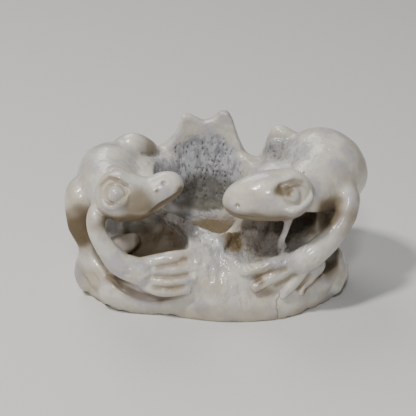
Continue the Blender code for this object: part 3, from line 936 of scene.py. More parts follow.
RIGHT = Frog(
    name="right frog",
    skull=[
        (14.2, -12.4, 25.0, 4.9), (9.4, -12.7, 24.7, 4.8), (5.8, -12.7, 24.0, 3.9),
        (4.2, -12.6, 23.6, 2.9),
    ],
    jaw=[(13.0, -12.6, 23.0, 3.2), (9.0, -12.7, 22.8, 3.0)],
    eyes=[
        Eye(
            centre=(15.1, -17.4, 26.7),
            radius=1.3,
            ring=1.75,
            crease=0.5,
            proud=0.45,
            corner=(12.8, -17.3, 28.0, 1.5),
            brow=[(12.6, -16.3, 28.2), (13.6, -15.6, 28.6), (15.2, -15.0, 28.8), (16.8, -14.6, 28.2)],
            lid=[
                (18.3, -14.4, 26.6), (18.1, -15.1, 25.5), (17.3, -16.1, 24.7), (16.2, -16.7, 24.0),
                (14.6, -17.0, 23.6), (13.4, -17.1, 23.8),
            ],
        ),
        Eye(
            centre=(14.8, -7.6, 27.0),
            radius=1.8,
            grime_and_shade=0.2,
            brow=[(12.6, -8.6, 28.2), (14.8, -8.4, 29.0), (17.0, -8.8, 28.0)],
            lid=[(12.6, -7.8, 25.2), (14.8, -7.2, 24.4), (17.0, -8.0, 25.2)],
        ),
    ],
    nostrils=[(4.4, -15.7, 24.1, 0.52), (4.2, -10.0, 25.0, 0.4)],
    mouth=[
        (1.4, -13.2, 22.6, 0.3), (2.6, -14.9, 22.2, 0.36), (4.6, -15.8, 21.6, 0.36),
        (7.4, -16.3, 21.2, 0.34), (10.4, -16.4, 21.2, 0.32), (13.4, -16.2, 21.8, 0.28),
    ],
    torso=[
        (18.5, 11.0, 20.8, 6.6), (21.4, 5.0, 24.4, 7.3), (22.9, -0.3, 24.3, 7.3), (17.6, -7.4, 23.0, 5.2),
    ],
    shoulder=[(22.4, -3.4, 22.4, 4.4), (25.4, -7.0, 22.0, 2.6)],
    arm=[
        (23.0, -4.0, 22.6, 3.4), (26.0, -7.4, 22.4, 2.5), (26.0, -9.0, 20.4, 2.3),
        (25.3, -10.2, 18.4, 2.1), (22.9, -12.0, 15.4, 2.2), (19.4, -14.0, 13.0, 2.6),
        (16.8, -14.4, 11.2, 2.7),
    ],
    digits=[
        [(16.2, -14.0, 11.6, 1.6), (10.6, -14.9, 10.8, 1.4), (5.8, -15.6, 9.8, 1.05)],
        [(16.6, -14.2, 11.0, 1.6), (12.4, -15.2, 9.1, 1.3), (7.8, -17.0, 6.9, 0.95)],
        [(17.8, -14.0, 10.4, 1.6), (15.9, -14.8, 7.6, 1.3), (13.4, -16.5, 4.9, 0.85)],
        [(19.4, -13.0, 10.0, 1.5), (18.6, -13.9, 7.4, 1.15), (17.0, -15.0, 5.0, 0.85)],
    ],
    outer_leg=[
        (20.0, 7.0, 20.6, 5.4), (25.0, 3.0, 23.6, 4.8), (26.2, -0.5, 23.6, 4.4), (24.2, 2.4, 16.0, 3.0),
        (23.4, 0.5, 10.0, 2.4), (22.8, -2.0, 6.4, 3.0),
    ],
    outer_toes=[
        [(23.6, -3.0, 6.8, 2.4), (23.0, -7.6, 6.2, 2.1), (21.6, -10.6, 4.6, 1.8)],
        [(24.4, -2.6, 5.4, 2.4), (25.0, -5.4, 4.4, 2.1), (24.2, -8.2, 2.8, 1.7)],
        [(24.4, -0.6, 4.8, 2.2), (25.6, -1.0, 3.4, 1.9), (25.8, -2.6, 2.2, 1.6)],
    ],
    inner_leg=[
        (19.6, 10.4, 21.4, 4.6), (16.4, 9.6, 26.2, 2.7), (13.1, 9.4, 29.5, 1.45), (11.8, 10.4, 25.4, 1.7),
        (11.0, 13.6, 20.4, 2.0), (11.2, 17.0, 14.0, 1.9), (11.6, 18.0, 7.4, 2.1),
    ],
    inner_toes=[
        [(11.6, 17.8, 7.0, 1.6), (9.8, 18.9, 4.8, 1.4), (8.2, 19.5, 3.2, 1.1)],
        [(11.6, 17.8, 7.0, 1.6), (12.0, 18.5, 4.2, 1.4), (12.2, 18.6, 2.4, 1.1)],
        [(11.6, 17.8, 7.0, 1.6), (14.0, 17.8, 5.0, 1.4), (15.8, 17.3, 3.6, 1.1)],
    ],
    folds=[
        [(22.6, -9.2, 9.8, 0.8), (20.8, -12.6, 7.0, 0.7), (18.6, -15.6, 5.0, 0.5)],
        [(24.4, -4.6, 10.6, 1.5), (23.4, -7.6, 9.0, 1.5), (22.0, -10.0, 7.6, 1.0)],
    ],
    toe_blend=1.4,
)


@dataclass(frozen=True)
class Zone:
    """A soft-edged blob of space that marks lie in, and the way that they run."""

    centre: Point
    half: Point
    strength: float
    run: Point = (0.0, 0.0, 1.0)
    edges: tuple[float, float] = (1.25, 0.45)  # where it ends and is full, in its half sizes
    waver: float = 0.06  # how far its edge wavers, in those
    waves: tuple[Point, ...] = ((1.3, 0.4, 0.9), (-0.5, 1.1, 1.5))

    def share(self, points: Grid) -> Grid:
        """How strong the zone is at each point.

        Args:
            points: One row per point.

        Returns:
            Nought to the zone's strength, one value per point.
        """
        reach = (points - np.array(self.centre)) / np.array(self.half)
        wave = sum(np.sin(points @ np.array(way)) for way in self.waves)
        return self.strength * ramp(*self.edges, np.linalg.norm(reach, axis=1) + self.waver * wave)


def strongest(zones: Sequence[Zone], points: Grid) -> Grid:
    """How strong the strongest of some zones is at each point."""
    return np.max([zone.share(points) for zone in zones], axis=0)


# Where the spongy core shows: the hollow's wall and floor, the frogs' backs, the pockets and the rim.
CORE_ZONES = (
    Zone((-2.2, 13.4, 18.4), (10.4, 5.0, 10.0), 1.0),
    Zone((-2.0, 3.0, 9.8), (10.0, 11.0, 2.6), 0.8),
    Zone((-12.0, 6.0, 23.0), (8.5, 8.0, 3.4), 0.58, (1.0, 0.6, 0.0)),
    Zone((17.0, 0.5, 27.6), (10.0, 9.0, 4.6), 0.5, (-1.0, 0.5, 0.0)),
    Zone((13.2, 7.6, 25.0), (4.2, 4.2, 4.2), 0.66),
    Zone((-8.6, -10.0, 16.4), (5.6, 5.0, 4.6), 0.75, (0.8, 0.0, -1.0)),
    Zone((9.0, -11.0, 14.6), (8.4, 6.4, 6.0), 0.8, (-0.8, 0.0, 1.0)),
    Zone((17.0, -7.0, 16.4), (6.0, 6.0, 4.8), 0.6),
    Zone((-0.5, -11.8, 14.4), (6.6, 3.6, 4.0), 0.45, (0.2, 0.0, 1.0)),
)


# Where grease and dirt have turned the antler brown, and where shade is painted in brown: under the
# heads, arms and knees, in the pockets and in the recesses.
STAINS_AND_SHADE = (
    # The left frog, mostly painted shade: shin, cheek, chin, the pocket under it, the web, the hump
    # behind it and the foot.
    Zone((-27.2, -5.4, 15.2), (4.6, 5.6, 6.0), 0.95),
    Zone((-15.0, -16.8, 25.0), (4.4, 3.2, 3.2), 0.62),
    Zone((-15.8, -15.2, 20.3), (8.6, 4.8, 3.4), 0.92),
    Zone((-12.2, -9.4, 12.6), (7.6, 5.6, 4.8), 0.85),
    Zone((-8.0, -9.6, 16.4), (4.8, 4.8, 4.4), 0.3),
    Zone((-13.8, 9.6, 26.0), (2.6, 2.6, 2.6), 0.6),
    Zone((-18.0, -12.4, 14.6), (4.0, 3.4, 3.0), 0.55),
    Zone((-15.4, -10.0, 13.8), (2.2, 3.0, 2.6), 0.9),
    Zone((-26.0, -8.0, 4.6), (4.6, 4.6, 4.0), 0.4),
    # Painted shade on the front of the hollow's floor.
    Zone((-0.2, 5.6, 9.9), (6.4, 4.8, 1.8), 0.55),
    # The right frog, mostly painted shade: slit, the space behind the strut, jaw, eye, arm, recess and
    # hand.
    Zone((4.0, -11.8, 14.8), (2.6, 2.6, 2.8), 1.0),
    Zone((9.0, -9.0, 14.6), (9.0, 6.4, 6.0), 0.52),
    Zone((20.4, -5.4, 17.6), (6.8, 6.8, 5.8), 0.82),
    Zone((22.0, -0.8, 14.6), (3.8, 4.2, 5.2), 0.9),
    Zone((19.8, -8.4, 20.6), (6.0, 4.0, 2.8), 0.75),
    Zone((8.0, -15.4, 21.2), (10.8, 4.4, 2.6), 0.75),
    Zone((13.0, -16.7, 27.6), (2.5, 2.0, 1.9), 0.9),
    Zone((15.0, -15.6, 28.4), (2.6, 1.4, 0.9), 0.7),
    Zone((22.4, -9.6, 19.4), (4.6, 4.4, 5.6), 0.85),
    Zone((25.8, -9.4, 18.4), (4.2, 4.4, 4.6), 0.6),
    Zone((22.6, -8.6, 8.2), (3.4, 3.6, 3.8), 0.85),
    Zone((8.6, -16.6, 8.3), (1.5, 1.5, 1.0), 0.8),
    # The front's lower edge, darker towards the bottom, and painted shade in the crease under the middle
    # finger.
    Zone((1.5, -18.6, 1.2), (15.0, 3.0, 3.0), 0.42),
    Zone((10.6, -17.2, 5.6), (2.6, 2.0, 1.3), 0.55),
)


# Where old dirt has turned it a dull dark olive, and where shade is painted in that olive: the
# hollow's lower wall, crease and floor, the pockets, the slit and under the frogs.
SOOT_AND_SHADE = (
    # The hollow: the lower wall, the crease under it, the floor and its front.
    Zone((-2.2, 14.0, 13.8), (10.8, 3.6, 4.8), 0.84),
    Zone((-2.4, 13.8, 11.5), (10.4, 3.2, 2.1), 1.0),
    Zone((-2.4, 9.0, 9.9), (9.6, 7.4, 1.8), 0.5),
    Zone((-0.4, 4.4, 9.9), (8.0, 5.6, 1.8), 1.0),
    # The pockets, the slit and the inside of the right frog's knee.
    Zone((-8.0, -9.6, 16.4), (5.2, 5.2, 4.8), 0.6),
    Zone((12.0, -8.0, 15.6), (9.0, 7.4, 6.4), 0.42),
    Zone((4.2, -11.8, 15.0), (2.9, 2.8, 3.2), 1.0),
    Zone((9.0, -12.0, 13.0), (9.4, 5.6, 5.6), 0.42),
    Zone((13.2, 7.0, 25.2), (4.4, 4.8, 4.2), 0.55),
    # A faint painted shade on the right frog's torso, and painted shade on the left frog's shin, cheek
    # and chin.
    Zone((21.6, 0.0, 27.6), (7.6, 8.6, 5.0), 0.14),
    Zone((-27.0, -5.4, 13.0), (4.0, 5.0, 6.0), 0.3),
    Zone((-15.0, -16.8, 24.8), (4.6, 3.4, 3.4), 0.3),
    Zone((-15.8, -15.2, 20.2), (8.6, 4.8, 3.2), 0.3),
)


def distance_to_line(points: Grid, line: Grid) -> Grid:
    """How far each point is from a line through places.

    Args:
        points: One row per point.
        line: The line's places, one row each.

    Returns:
        One distance per point.
    """
    nearest = np.full(len(points), np.inf)
    for a, b in zip(line, line[1:]):
        way = b - a
        t = np.clip((points - a) @ way / max(float(way @ way), 1e-9), 0, 1)
        nearest = np.minimum(nearest, np.linalg.norm(points - a - t[:, None] * way, axis=1))
    return nearest


@dataclass
class DirtAndShade:
    """Where grease and dirt have settled, and where shade is painted in under things, in folds and in
    creases, past the shade painted into the hollows by how shut in they are.
    """

    zones: tuple[Zone, ...] = STAINS_AND_SHADE
    soot_and_shade: tuple[Zone, ...] = SOOT_AND_SHADE
    edge: float = 2.4  # how far up the lower edge it reaches, in mm
    edge_full: float = 0.2  # how far up it is at its strongest, in mm
    edge_strength: float = 0.55
    solid: float = 0.3  # share of a smear's width that is at its strongest
    lines: list[tuple[Grid, float, float]] = field(default_factory=list)

    def darken_along(self, line: Grid | list[Grid], smear: Smear, share: float = 1.0) -> None:
        """Darkens the antler along a line, for dirt in the crack and for painted shade in folds and
        creases.

        Args:
            line: The line's places, one row each.
            smear: Its width in mm and its strength.
            share: How much of that strength it has here.
        """
        width, strength = smear
        self.lines.append((np.array(line, float), width, strength * share))

    def shows(self, points: Grid) -> Grid:
        """How brown the antler is at each point.

        Args:
            points: One row per point.

        Returns:
            The strength of the stain and painted shade, 0 to 1, one value per point.
        """
        spots = strongest(self.zones, points)
        for line, width, strength in self.lines:
            near = ramp(width, width * self.solid, distance_to_line(points, line))
            spots = np.maximum(spots, strength * near)
        return np.maximum(spots, self.edge_strength * ramp(self.edge, self.edge_full, points[:, 2]))


@dataclass
class Core:
    """The open pores of the spongy core."""

    zones: tuple[Zone, ...] = CORE_ZONES
    per_zone: int = 460
    seed: int = 11
    radius: tuple[float, float] = (0.08, 0.15)
    stretch: tuple[float, float] = (1.0, 2.4)
    growth: tuple[float, float] = (0.7, 0.6)  # a pore's size, and how it grows with the zone's strength
    depth: float = 2.0  # in its own radii
    blend: float = 0.06
    flattest: float = 0.2  # how much of the zone's run has to lie along the skin
    spare_run: Point = (0.3, 0.9, 0.1)  # what a pore follows where it doesn't
    tries: int = 3  # for each pore
    near: float = 1.0  # how far off the skin a try may fall, in mm
    thinning: float = 1.3  # how fast they grow fewer towards a zone's edge

    def build(self, clay: Clay) -> int:
        """Cuts the pores.

        Args:
            clay: The finished form.

        Returns:
            How many pores were cut.
        """
        rng = np.random.default_rng(self.seed)
        cut = 0
        for zone in self.zones:
            spread = rng.uniform(-1, 1, (self.per_zone * self.tries, 3)) * np.array(zone.half)
            spots = np.array(zone.centre) + spread
            spots = clay.on_skin(spots[np.abs(clay.sample(clay.skin, spots)) < self.near])
            keep = rng.uniform(0, 1, len(spots)) < zone.share(spots) ** self.thinning
            spots = spots[keep][: self.per_zone]
            run = np.array(zone.run) / np.linalg.norm(zone.run)
            for spot, out in zip(spots, clay.outward(spots)):
                along = run - out * (run @ out)
                if np.linalg.norm(along) < self.flattest:
                    along = np.cross(out, self.spare_run)
                along /= np.linalg.norm(along)
                turn = np.array([along, np.cross(out, along), out])
                size = rng.uniform(*self.radius) * (self.growth[0] + self.growth[1] * zone.strength)
                half = (size * rng.uniform(*self.stretch), size, size * self.depth)
                clay.ball(tuple(spot), half, Stroke.CUT, self.blend, turn)
                cut += 1
        return cut


@dataclass
class Wear:
    """What handling, the drill and drying left: an uneven skin, a crack and a ragged lower edge."""

    lumps: tuple[tuple[float, float], ...] = ((5.5, 0.10), (2.2, 0.05), (0.9, 0.022))
    seed: int = 4
    crack: tuple[Station, ...] = (
        (12.6, -16.3, 5.6, 0.06), (12.4, -16.9, 4.7, 0.11), (12.1, -17.4, 4.1, 0.10),
        (12.3, -17.7, 3.3, 0.13), (12.1, -17.9, 2.6, 0.11), (12.5, -18.0, 1.7, 0.14),
        (12.3, -18.0, 0.9, 0.14), (12.6, -17.9, -0.6, 0.22),
    )
    crack_blend: float = 0.1
    crack_dirt: Smear = (0.24, 0.75)
    # Where the knife's last strokes were left, and the way they run.
    scuffed: tuple[Zone, ...] = (
        Zone((1.0, -17.0, 8.4), (8.0, 5.0, 6.4), 1.0, (0.25, -0.5, -1.0)),
        Zone((-11.0, -16.6, 9.4), (9.0, 4.0, 5.0), 0.5, (1.0, 0.0, 0.1)),
        Zone((13.6, -15.6, 9.6), (8.0, 4.5, 6.4), 0.6, (-1.0, -0.3, -0.8)),
    )
    scrapes: int = 46  # on each of them
    scrape_spread: float = 0.8  # share of the zone that they start in
    scrape_stray: float = 0.22  # how far they stray from its run
    scrape_lengths: tuple[float, float] = (1.2, 3.4)
    scrape_shortest: float = 0.6  # share of its length that a scrape has to keep on the skin
    scrape_radius: float = 0.6
    scrape_taper: tuple[float, ...] = (0.8, 1.0, 1.0, 0.8)
    scrape_depth: float = 0.15
    scrape_slack: float = 0.1  # how far it may leave the skin, in mm
    scrape_blend: float = 0.08
    # The nicks of the lower edge: the oval that they lie on, their sizes, and their shape in those.
    nicks: int = 46
    nick_middle: tuple[float, float] = (-0.6, 0.3)
    nick_oval: tuple[float, float] = (26.5, 18.8)
    nick_height: float = 0.3
    nick_sink: float = -0.2
    nick_sizes: tuple[float, float] = (0.25, 0.6)
    nick_shape: Point = (2.2, 1.4, 1.0)
    nick_blend: float = 0.5

    def rough_up(self, clay: Clay) -> None:
        """Gives the skin its hand-worked unevenness."""
        for step, (size, depth) in enumerate(self.lumps):
            clay.skin += depth * cloud(clay.axes, size, self.seed + step)

    def build(self, clay: Clay, dirt_and_shade: DirtAndShade) -> None:
        """Cuts the crack, which dirt settles in, the knife's scrapes and the nicks of the lower edge.

        Args:
            clay: The block to work in.
            dirt_and_shade: The dirt and painted shade; dirt settles in the crack.
        """
        dirt_and_shade.darken_along(clay.carve(self.crack, 0.0, self.crack_blend), self.crack_dirt)
        rng = np.random.default_rng(self.seed)
        for zone in self.scuffed:
            self.scrape(clay, zone, rng)
        (mid_x, mid_y), (half_x, half_y) = self.nick_middle, self.nick_oval
        for turn in rng.uniform(0, 2 * math.pi, self.nicks):
            place = (mid_x + half_x * math.cos(turn), mid_y + half_y * math.sin(turn), self.nick_height)
            spot = clay.on_skin([place])[0]
            size = rng.uniform(*self.nick_sizes)
            half = tuple(size * share for share in self.nick_shape)
            clay.ball((spot[0], spot[1], self.nick_sink), half, Stroke.CUT, self.nick_blend)

    def scrape(self, clay: Clay, zone: Zone, rng: np.random.Generator) -> None:
        """Cuts the scrapes of one zone, but for those whose line would leave the skin.

        Args:
            clay: The block to work in.
            zone: Where they lie, and the way that they run.
            rng: What the random draws come from.
        """
        lift = self.scrape_radius - self.scrape_depth
        spread = rng.uniform(-self.scrape_spread, self.scrape_spread, (self.scrapes, 3)) * zone.half
        spots = clay.on_skin(np.array(zone.centre) + spread)
        for spot, out in zip(spots, clay.outward(spots)):
            run = np.array(zone.run) + rng.normal(0, self.scrape_stray, 3)
            run -= out * (run @ out)
            length = rng.uniform(*self.scrape_lengths)
            steps = np.linspace(-0.5, 0.5, len(self.scrape_taper))[:, None] * length
            line = clay.on_skin(spot + out * lift + steps * run, lift)
            astray = np.abs(clay.sample(clay.skin, line) - lift).max() > self.scrape_slack
            shortest = self.scrape_shortest * length * np.linalg.norm(run)
            if astray or np.linalg.norm(line[-1] - line[0]) < shortest:
                continue
            clay.groove(line, self.scrape_radius * np.array(self.scrape_taper), self.scrape_blend)


def linear(colour: str) -> tuple[float, float, float, float]:
    """Turns an sRGB hex colour to the linear values that Blender's shaders take.

    Args:
        colour: Six hex digits after a hash.

    Returns:
        Linear red, green, blue and a full alpha.
    """
    parts = [int(colour[i : i + 2], 16) / 255 for i in (1, 3, 5)]
    return (*(p / 12.92 if p <= 0.04045 else ((p + 0.055) / 1.055) ** 2.4 for p in parts), 1.0)


def node(tree: Tree, kind: str, inputs: dict, **settings: object) -> bpy.types.Node:
    """Adds a node with its settings, values and links.

    Args:
        tree: The material's node tree.
        kind: The node's type.
        inputs: For each input, by name or number, a value or the socket that feeds it.
        **settings: The node's own settings.

    Returns:
        The new node.
    """
    made = tree.nodes.new(kind)
    for name, value in settings.items():
        setattr(made, name, value)
    for name, value in inputs.items():
        if isinstance(value, Socket):
            tree.links.new(value, made.inputs[name])
        else:
            made.inputs[name].default_value = value
    return made


@dataclass(frozen=True)
class Grain:
    """A soft pattern of lumps of one size, from 0 to 1 between two of its levels."""

    size_mm: float
    low: float
    high: float
    detail: float = 3.0
    squash: float = 1.0  # under 1 draws the lumps out upright
    shift: float = 0.0  # in metres, off the other patterns

    def share(self, tree: Tree, place: Socket) -> Socket:
        """Adds the pattern.

        Args:
            tree: The material's node tree.
            place: Where on the piece each point is.

        Returns:
            How strong the pattern is, 0 to 1.
        """
        inputs = {"Vector": place, "Location": (self.shift,) * 3, "Scale": (1.0, 1.0, self.squash)}
        moved = node(tree, "ShaderNodeMapping", inputs).outputs[0]
        inputs = {"Vector": moved, "Scale": 1 / (self.size_mm * MM), "Detail": self.detail}
        lumps = node(tree, "ShaderNodeTexNoise", inputs).outputs[0]
        inputs = {"Value": lumps, "From Min": self.low, "From Max": self.high}
        return node(tree, "ShaderNodeMapRange", inputs, interpolation_type="SMOOTHSTEP").outputs[0]


@dataclass(frozen=True)
class PolishedAntler:
    """Antler, filed, sanded and buffed by hand.

    Antler is bone: a dense cream outer layer over a spongy core. Buffing leaves the outer layer
    glossy and a little see-through, with faint grey and tan clouds. The core stays matt and
    blue-grey with dark pores. Dirt and finger grease turn the antler tan in places, and shade is
    painted in: every groove a warm tan and every deep hollow dark brown, by how shut in it is.
    """

    cream: str = "#d2cec2"
    cool: str = "#b3afb4"
    tan: str = "#bcab8a"
    core: str = "#b6b7bd"
    core_dark: str = "#85868c"
    pore: str = "#4b4740"
    # groove is the tan of stains and of the shade painted into grooves; deep is the dark brown of caked
    # dirt and of the shade painted into hollows
    groove: str = "#806a44"
    # soot is the dull dark olive of old dirt and of painted shade
    soot_and_shade: str = "#4a4534"
    deep: str = "#47381f"
    index: float = 1.54  # of bone
    gloss: float = 0.34  # roughness of the buffed layer
    matt: float = 0.62  # roughness of the core
    coat: float = 0.7
    coat_roughness: float = 0.13
    glow: float = 0.22  # share of the light that travels through the outer layer
    glow_mm: float = 1.2
    glow_reach: Point = (1.0, 0.75, 0.5)  # of red, green and blue, in that
    relief_mm: float = 0.15  # how deep the flats, scratches and pores are
    coat_relief_mm: float = 0.05  # how deep the flats show in the gloss
    bump: float = 0.8  # strength of both reliefs
    plain_grit: float = 0.25  # height of the scratches anywhere, as a share of the relief
    scuff_grit: float = 0.9  # what scuffed places add to it
    flat_rise: float = 0.7
    coat_grit: float = 0.25  # what the gloss shows of the scratches
    speck_mm: float = 0.62  # between the core's dark specks
    speck_squash: float = 0.45  # under 1 draws them out upright
    speck_edges: tuple[float, float] = (0.42, 0.16)  # where a speck ends and is full, off its middle
    fray_share: float = 0.45
    fray_edges: tuple[float, float] = (0.42, 0.95)  # from where the core shows, and shows in full
    caked_and_shaded_from: float = 0.5  # the strength of stain and painted shade from which it darkens to deep brown
    dulled_by: tuple[tuple[str, float], ...] = (("deep", 0.6), ("stain_and_shade", 0.7), ("soot_and_shade", 0.5))
    rub_rise: float = 0.16  # what the uneven rubbing adds to the roughness
    coat_end: float = 0.7  # how dull the antler is where the gloss ends
    clouds: Grain = Grain(4.5, 0.42, 0.62)
    warmth: Grain = Grain(6.3, 0.48, 0.68, 4.0, 1.0, 0.7)
    mottle: Grain = Grain(1.1, 0.42, 0.66, 4.0, 1.0, 0.3)
    sponge: Grain = Grain(1.1, 0.40, 0.62, 4.0, 0.5)
    patches: Grain = Grain(1.3, 0.38, 0.60, 3.0, 1.0, 1.9)
    fray: Grain = Grain(0.9, 0.0, 1.0, 3.0, 1.0, 3.1)
    flats: Grain = Grain(1.6, 0.0, 1.0, 2.0, 1.0, 7.0)  # left by the knife and the file
    scratches: Grain = Grain(0.34, 0.0, 1.0, 3.0, 0.45, 9.0)
    rub: Grain = Grain(0.8, 0.35, 0.70, 3.0, 1.0, 5.0)

    def specks(self, tree: Tree, place: Socket, core: Socket) -> Socket:
        """Adds the dark specks of the core.

        Args:
            tree: The material's node tree.
            place: Where on the piece each point is.
            core: How much of the core shows.

        Returns:
            How strong a speck is, 0 to 1.
        """
        inputs = {"Vector": place, "Scale": (1.0, 1.0, self.speck_squash)}
        upright = node(tree, "ShaderNodeMapping", inputs).outputs[0]
        inputs = {"Vector": upright, "Scale": 1 / (self.speck_mm * MM)}
        away = node(tree, "ShaderNodeTexVoronoi", inputs).outputs["Distance"]
        inputs = {"Value": away, "From Min": self.speck_edges[0], "From Max": self.speck_edges[1]}
        specks = node(tree, "ShaderNodeMapRange", inputs, interpolation_type="SMOOTHSTEP").outputs[0]
        for share in (self.patches.share(tree, place), core):
            inputs = {0: specks, 1: share}
            specks = node(tree, "ShaderNodeMath", inputs, operation="MULTIPLY").outputs[0]
        return specks

    def colour(self, tree: Tree, place: Socket, marks: dict[str, Socket]) -> Socket:
        """Adds the colour, a layer at a time.

        Args:
            tree: The material's node tree.
            place: Where on the piece each point is.
            marks: How strong each kind of mark is.

        Returns:
            The colour.
        """
        inputs = {0: self.sponge.share(tree, place), 6: linear(self.core), 7: linear(self.core_dark)}
        spongy = node(tree, "ShaderNodeMix", inputs, data_type="RGBA").outputs[2]
        # Where stain and painted shade are strongest, the colour turns deep brown.
        inputs = {"Value": marks["stain_and_shade"], "From Min": self.caked_and_shaded_from, "From Max": 1.0}
        caked_and_shaded = node(tree, "ShaderNodeMapRange", inputs).outputs[0]
        # Where each layer lies, how strong it is and its colour.
        layers = (
            (self.clouds.share(tree, place), 0.8, linear(self.cool)),
            (self.warmth.share(tree, place), 0.42, linear(self.tan)),
            (self.mottle.share(tree, place), 0.22, linear(self.tan)),
            (marks["shows"], 0.85, spongy),
            # Old dirt and painted shade turn it a dull dark olive.
            (marks["soot_and_shade"], 0.9, linear(self.soot_and_shade)),
            # Painted shade: the more shut in a groove is, the more tan it turns.
            (marks["groove"], 0.7, linear(self.groove)),
            # Stains, and painted shade under things and in creases, turn tan.
            (marks["stain_and_shade"], 0.92, linear(self.groove)),
            (caked_and_shaded, 0.75, linear(self.deep)),
            # Painted shade: deep hollows turn dark brown.
            (marks["deep"], 0.55, linear(self.deep)),
            (marks["specks"], 0.7, linear(self.pore)),
            (marks["pore"], 0.6, linear(self.pore)),
        )
        colour = linear(self.cream)
        for share, strength, layer in layers:
            inputs = {0: share, 1: strength}
            weight = node(tree, "ShaderNodeMath", inputs, operation="MULTIPLY").outputs[0]
            inputs = {0: weight, 6: colour, 7: layer}
            colour = node(tree, "ShaderNodeMix", inputs, data_type="RGBA").outputs[2]
        return colour

    def sheen(self, tree: Tree, place: Socket, marks: dict[str, Socket]) -> tuple[Socket, Socket]:
        """Adds the gloss: buffed skin, matt core and dirt, and rubbed unevenly.

        Args:
            tree: The material's node tree.
            place: Where on the piece each point is.
            marks: How strong each kind of mark is.

        Returns:
            The roughness, and the weight of the buffed coat.
        """
        dull = marks["shows"]
        for name, strength in self.dulled_by:
            inputs = {0: marks[name], 1: strength, 2: dull}
            more = node(tree, "ShaderNodeMath", inputs, operation="MULTIPLY_ADD", use_clamp=True)
            dull = more.outputs[0]
        inputs = {"Value": dull, "To Min": self.gloss, "To Max": self.matt}
        rough = node(tree, "ShaderNodeMapRange", inputs).outputs[0]
        inputs = {0: self.rub.share(tree, place), 1: self.rub_rise, 2: rough}
        rough = node(tree, "ShaderNodeMath", inputs, operation="MULTIPLY_ADD").outputs[0]
        inputs = {"Value": dull, "From Max": self.coat_end, "To Min": self.coat, "To Max": 0.0}
        return rough, node(tree, "ShaderNodeMapRange", inputs).outputs[0]

    def relief(self, tree: Tree, place: Socket, marks: dict[str, Socket]) -> tuple[Socket, Socket]:
        """Adds the relief: small flats, scratches where it is scuffed, and the specks' pits.

        Args:
            tree: The material's node tree.
            place: Where on the piece each point is.
            marks: How strong each kind of mark is.

        Returns:
            The normal of the antler, and that of its buffed coat.
        """
        inputs = {0: marks["scuff"], 1: self.scuff_grit, 2: self.plain_grit}
        grit = node(tree, "ShaderNodeMath", inputs, operation="MULTIPLY_ADD").outputs[0]
        inputs = {0: self.scratches.share(tree, place), 1: grit}
        grit = node(tree, "ShaderNodeMath", inputs, operation="MULTIPLY").outputs[0]
        flats = self.flats.share(tree, place)
        inputs = {0: flats, 1: self.flat_rise, 2: grit}
        raised = node(tree, "ShaderNodeMath", inputs, operation="MULTIPLY_ADD").outputs[0]
        inputs = {0: raised, 1: marks["specks"]}
        height = node(tree, "ShaderNodeMath", inputs, operation="SUBTRACT").outputs[0]
        inputs = {0: grit, 1: self.coat_grit, 2: flats}
        buffed = node(tree, "ShaderNodeMath", inputs, operation="MULTIPLY_ADD").outputs[0]
        normals = []
        for rise, relief_mm in ((height, self.relief_mm), (buffed, self.coat_relief_mm)):
            inputs = {"Height": rise, "Strength": self.bump, "Distance": relief_mm * MM}
            normals.append(node(tree, "ShaderNodeBump", inputs).outputs[0])
        return tuple(normals)

    def material(self) -> bpy.types.Material:
        """The finish, which reads the marks that the mesh carries at each of its points.

        Returns:
            The material, which scales its patterns from real sizes.
        """
        made = bpy.data.materials.new("polished_antler")
        made.use_nodes = True
        tree = made.node_tree
        place = node(tree, "ShaderNodeTexCoord", {}).outputs["Object"]
        marks = {
            name: node(tree, "ShaderNodeAttribute", {}, attribute_name=name).outputs["Fac"]
            for name in ("core", "groove", "deep", "stain_and_shade", "soot_and_shade", "pore", "scuff")
        }
        # The core shows with a frayed edge.
        inputs = {0: self.fray.share(tree, place), 1: self.fray_share, 2: marks["core"]}
        frayed = node(tree, "ShaderNodeMath", inputs, operation="MULTIPLY_ADD").outputs[0]
        inputs = {"Value": frayed, "From Min": self.fray_edges[0], "From Max": self.fray_edges[1]}
        shows = node(tree, "ShaderNodeMapRange", inputs, interpolation_type="SMOOTHSTEP").outputs[0]
        marks |= {"shows": shows, "specks": self.specks(tree, place, marks["core"])}
        roughness, coat = self.sheen(tree, place, marks)
        normal, coat_normal = self.relief(tree, place, marks)
        shader = tree.nodes["Principled BSDF"]
        for name, socket in (
            ("Base Color", self.colour(tree, place, marks)),
            ("Roughness", roughness),
            ("Coat Weight", coat),
            ("Normal", normal),
            ("Coat Normal", coat_normal),
        ):
            tree.links.new(socket, shader.inputs[name])
        for name, value in (
            ("IOR", self.index),
            ("Subsurface Weight", self.glow),
            ("Subsurface Radius", self.glow_reach),
            ("Subsurface Scale", self.glow_mm * MM),
            ("Coat Roughness", self.coat_roughness),
        ):
            shader.inputs[name].default_value = value
        return made


def put(name: str, data: bpy.types.ID) -> bpy.types.Object:
    """Puts a mesh, a light or a camera into the scene.

    Args:
        name: What the object is called.
        data: The mesh, the light or the camera.

    Returns:
        The new object.
    """
    made = bpy.data.objects.new(name, data)
    bpy.context.scene.collection.objects.link(made)
    return made


def mesh_points(mesh: bpy.types.Mesh) -> Grid:
    """A mesh's points, one row each.

    Args:
        mesh: The mesh.

    Returns:
        Its points in its own unit.
    """
    points = np.empty(len(mesh.vertices) * 3, np.float32)
    mesh.vertices.foreach_get("co", points)
    return points.reshape(-1, 3)


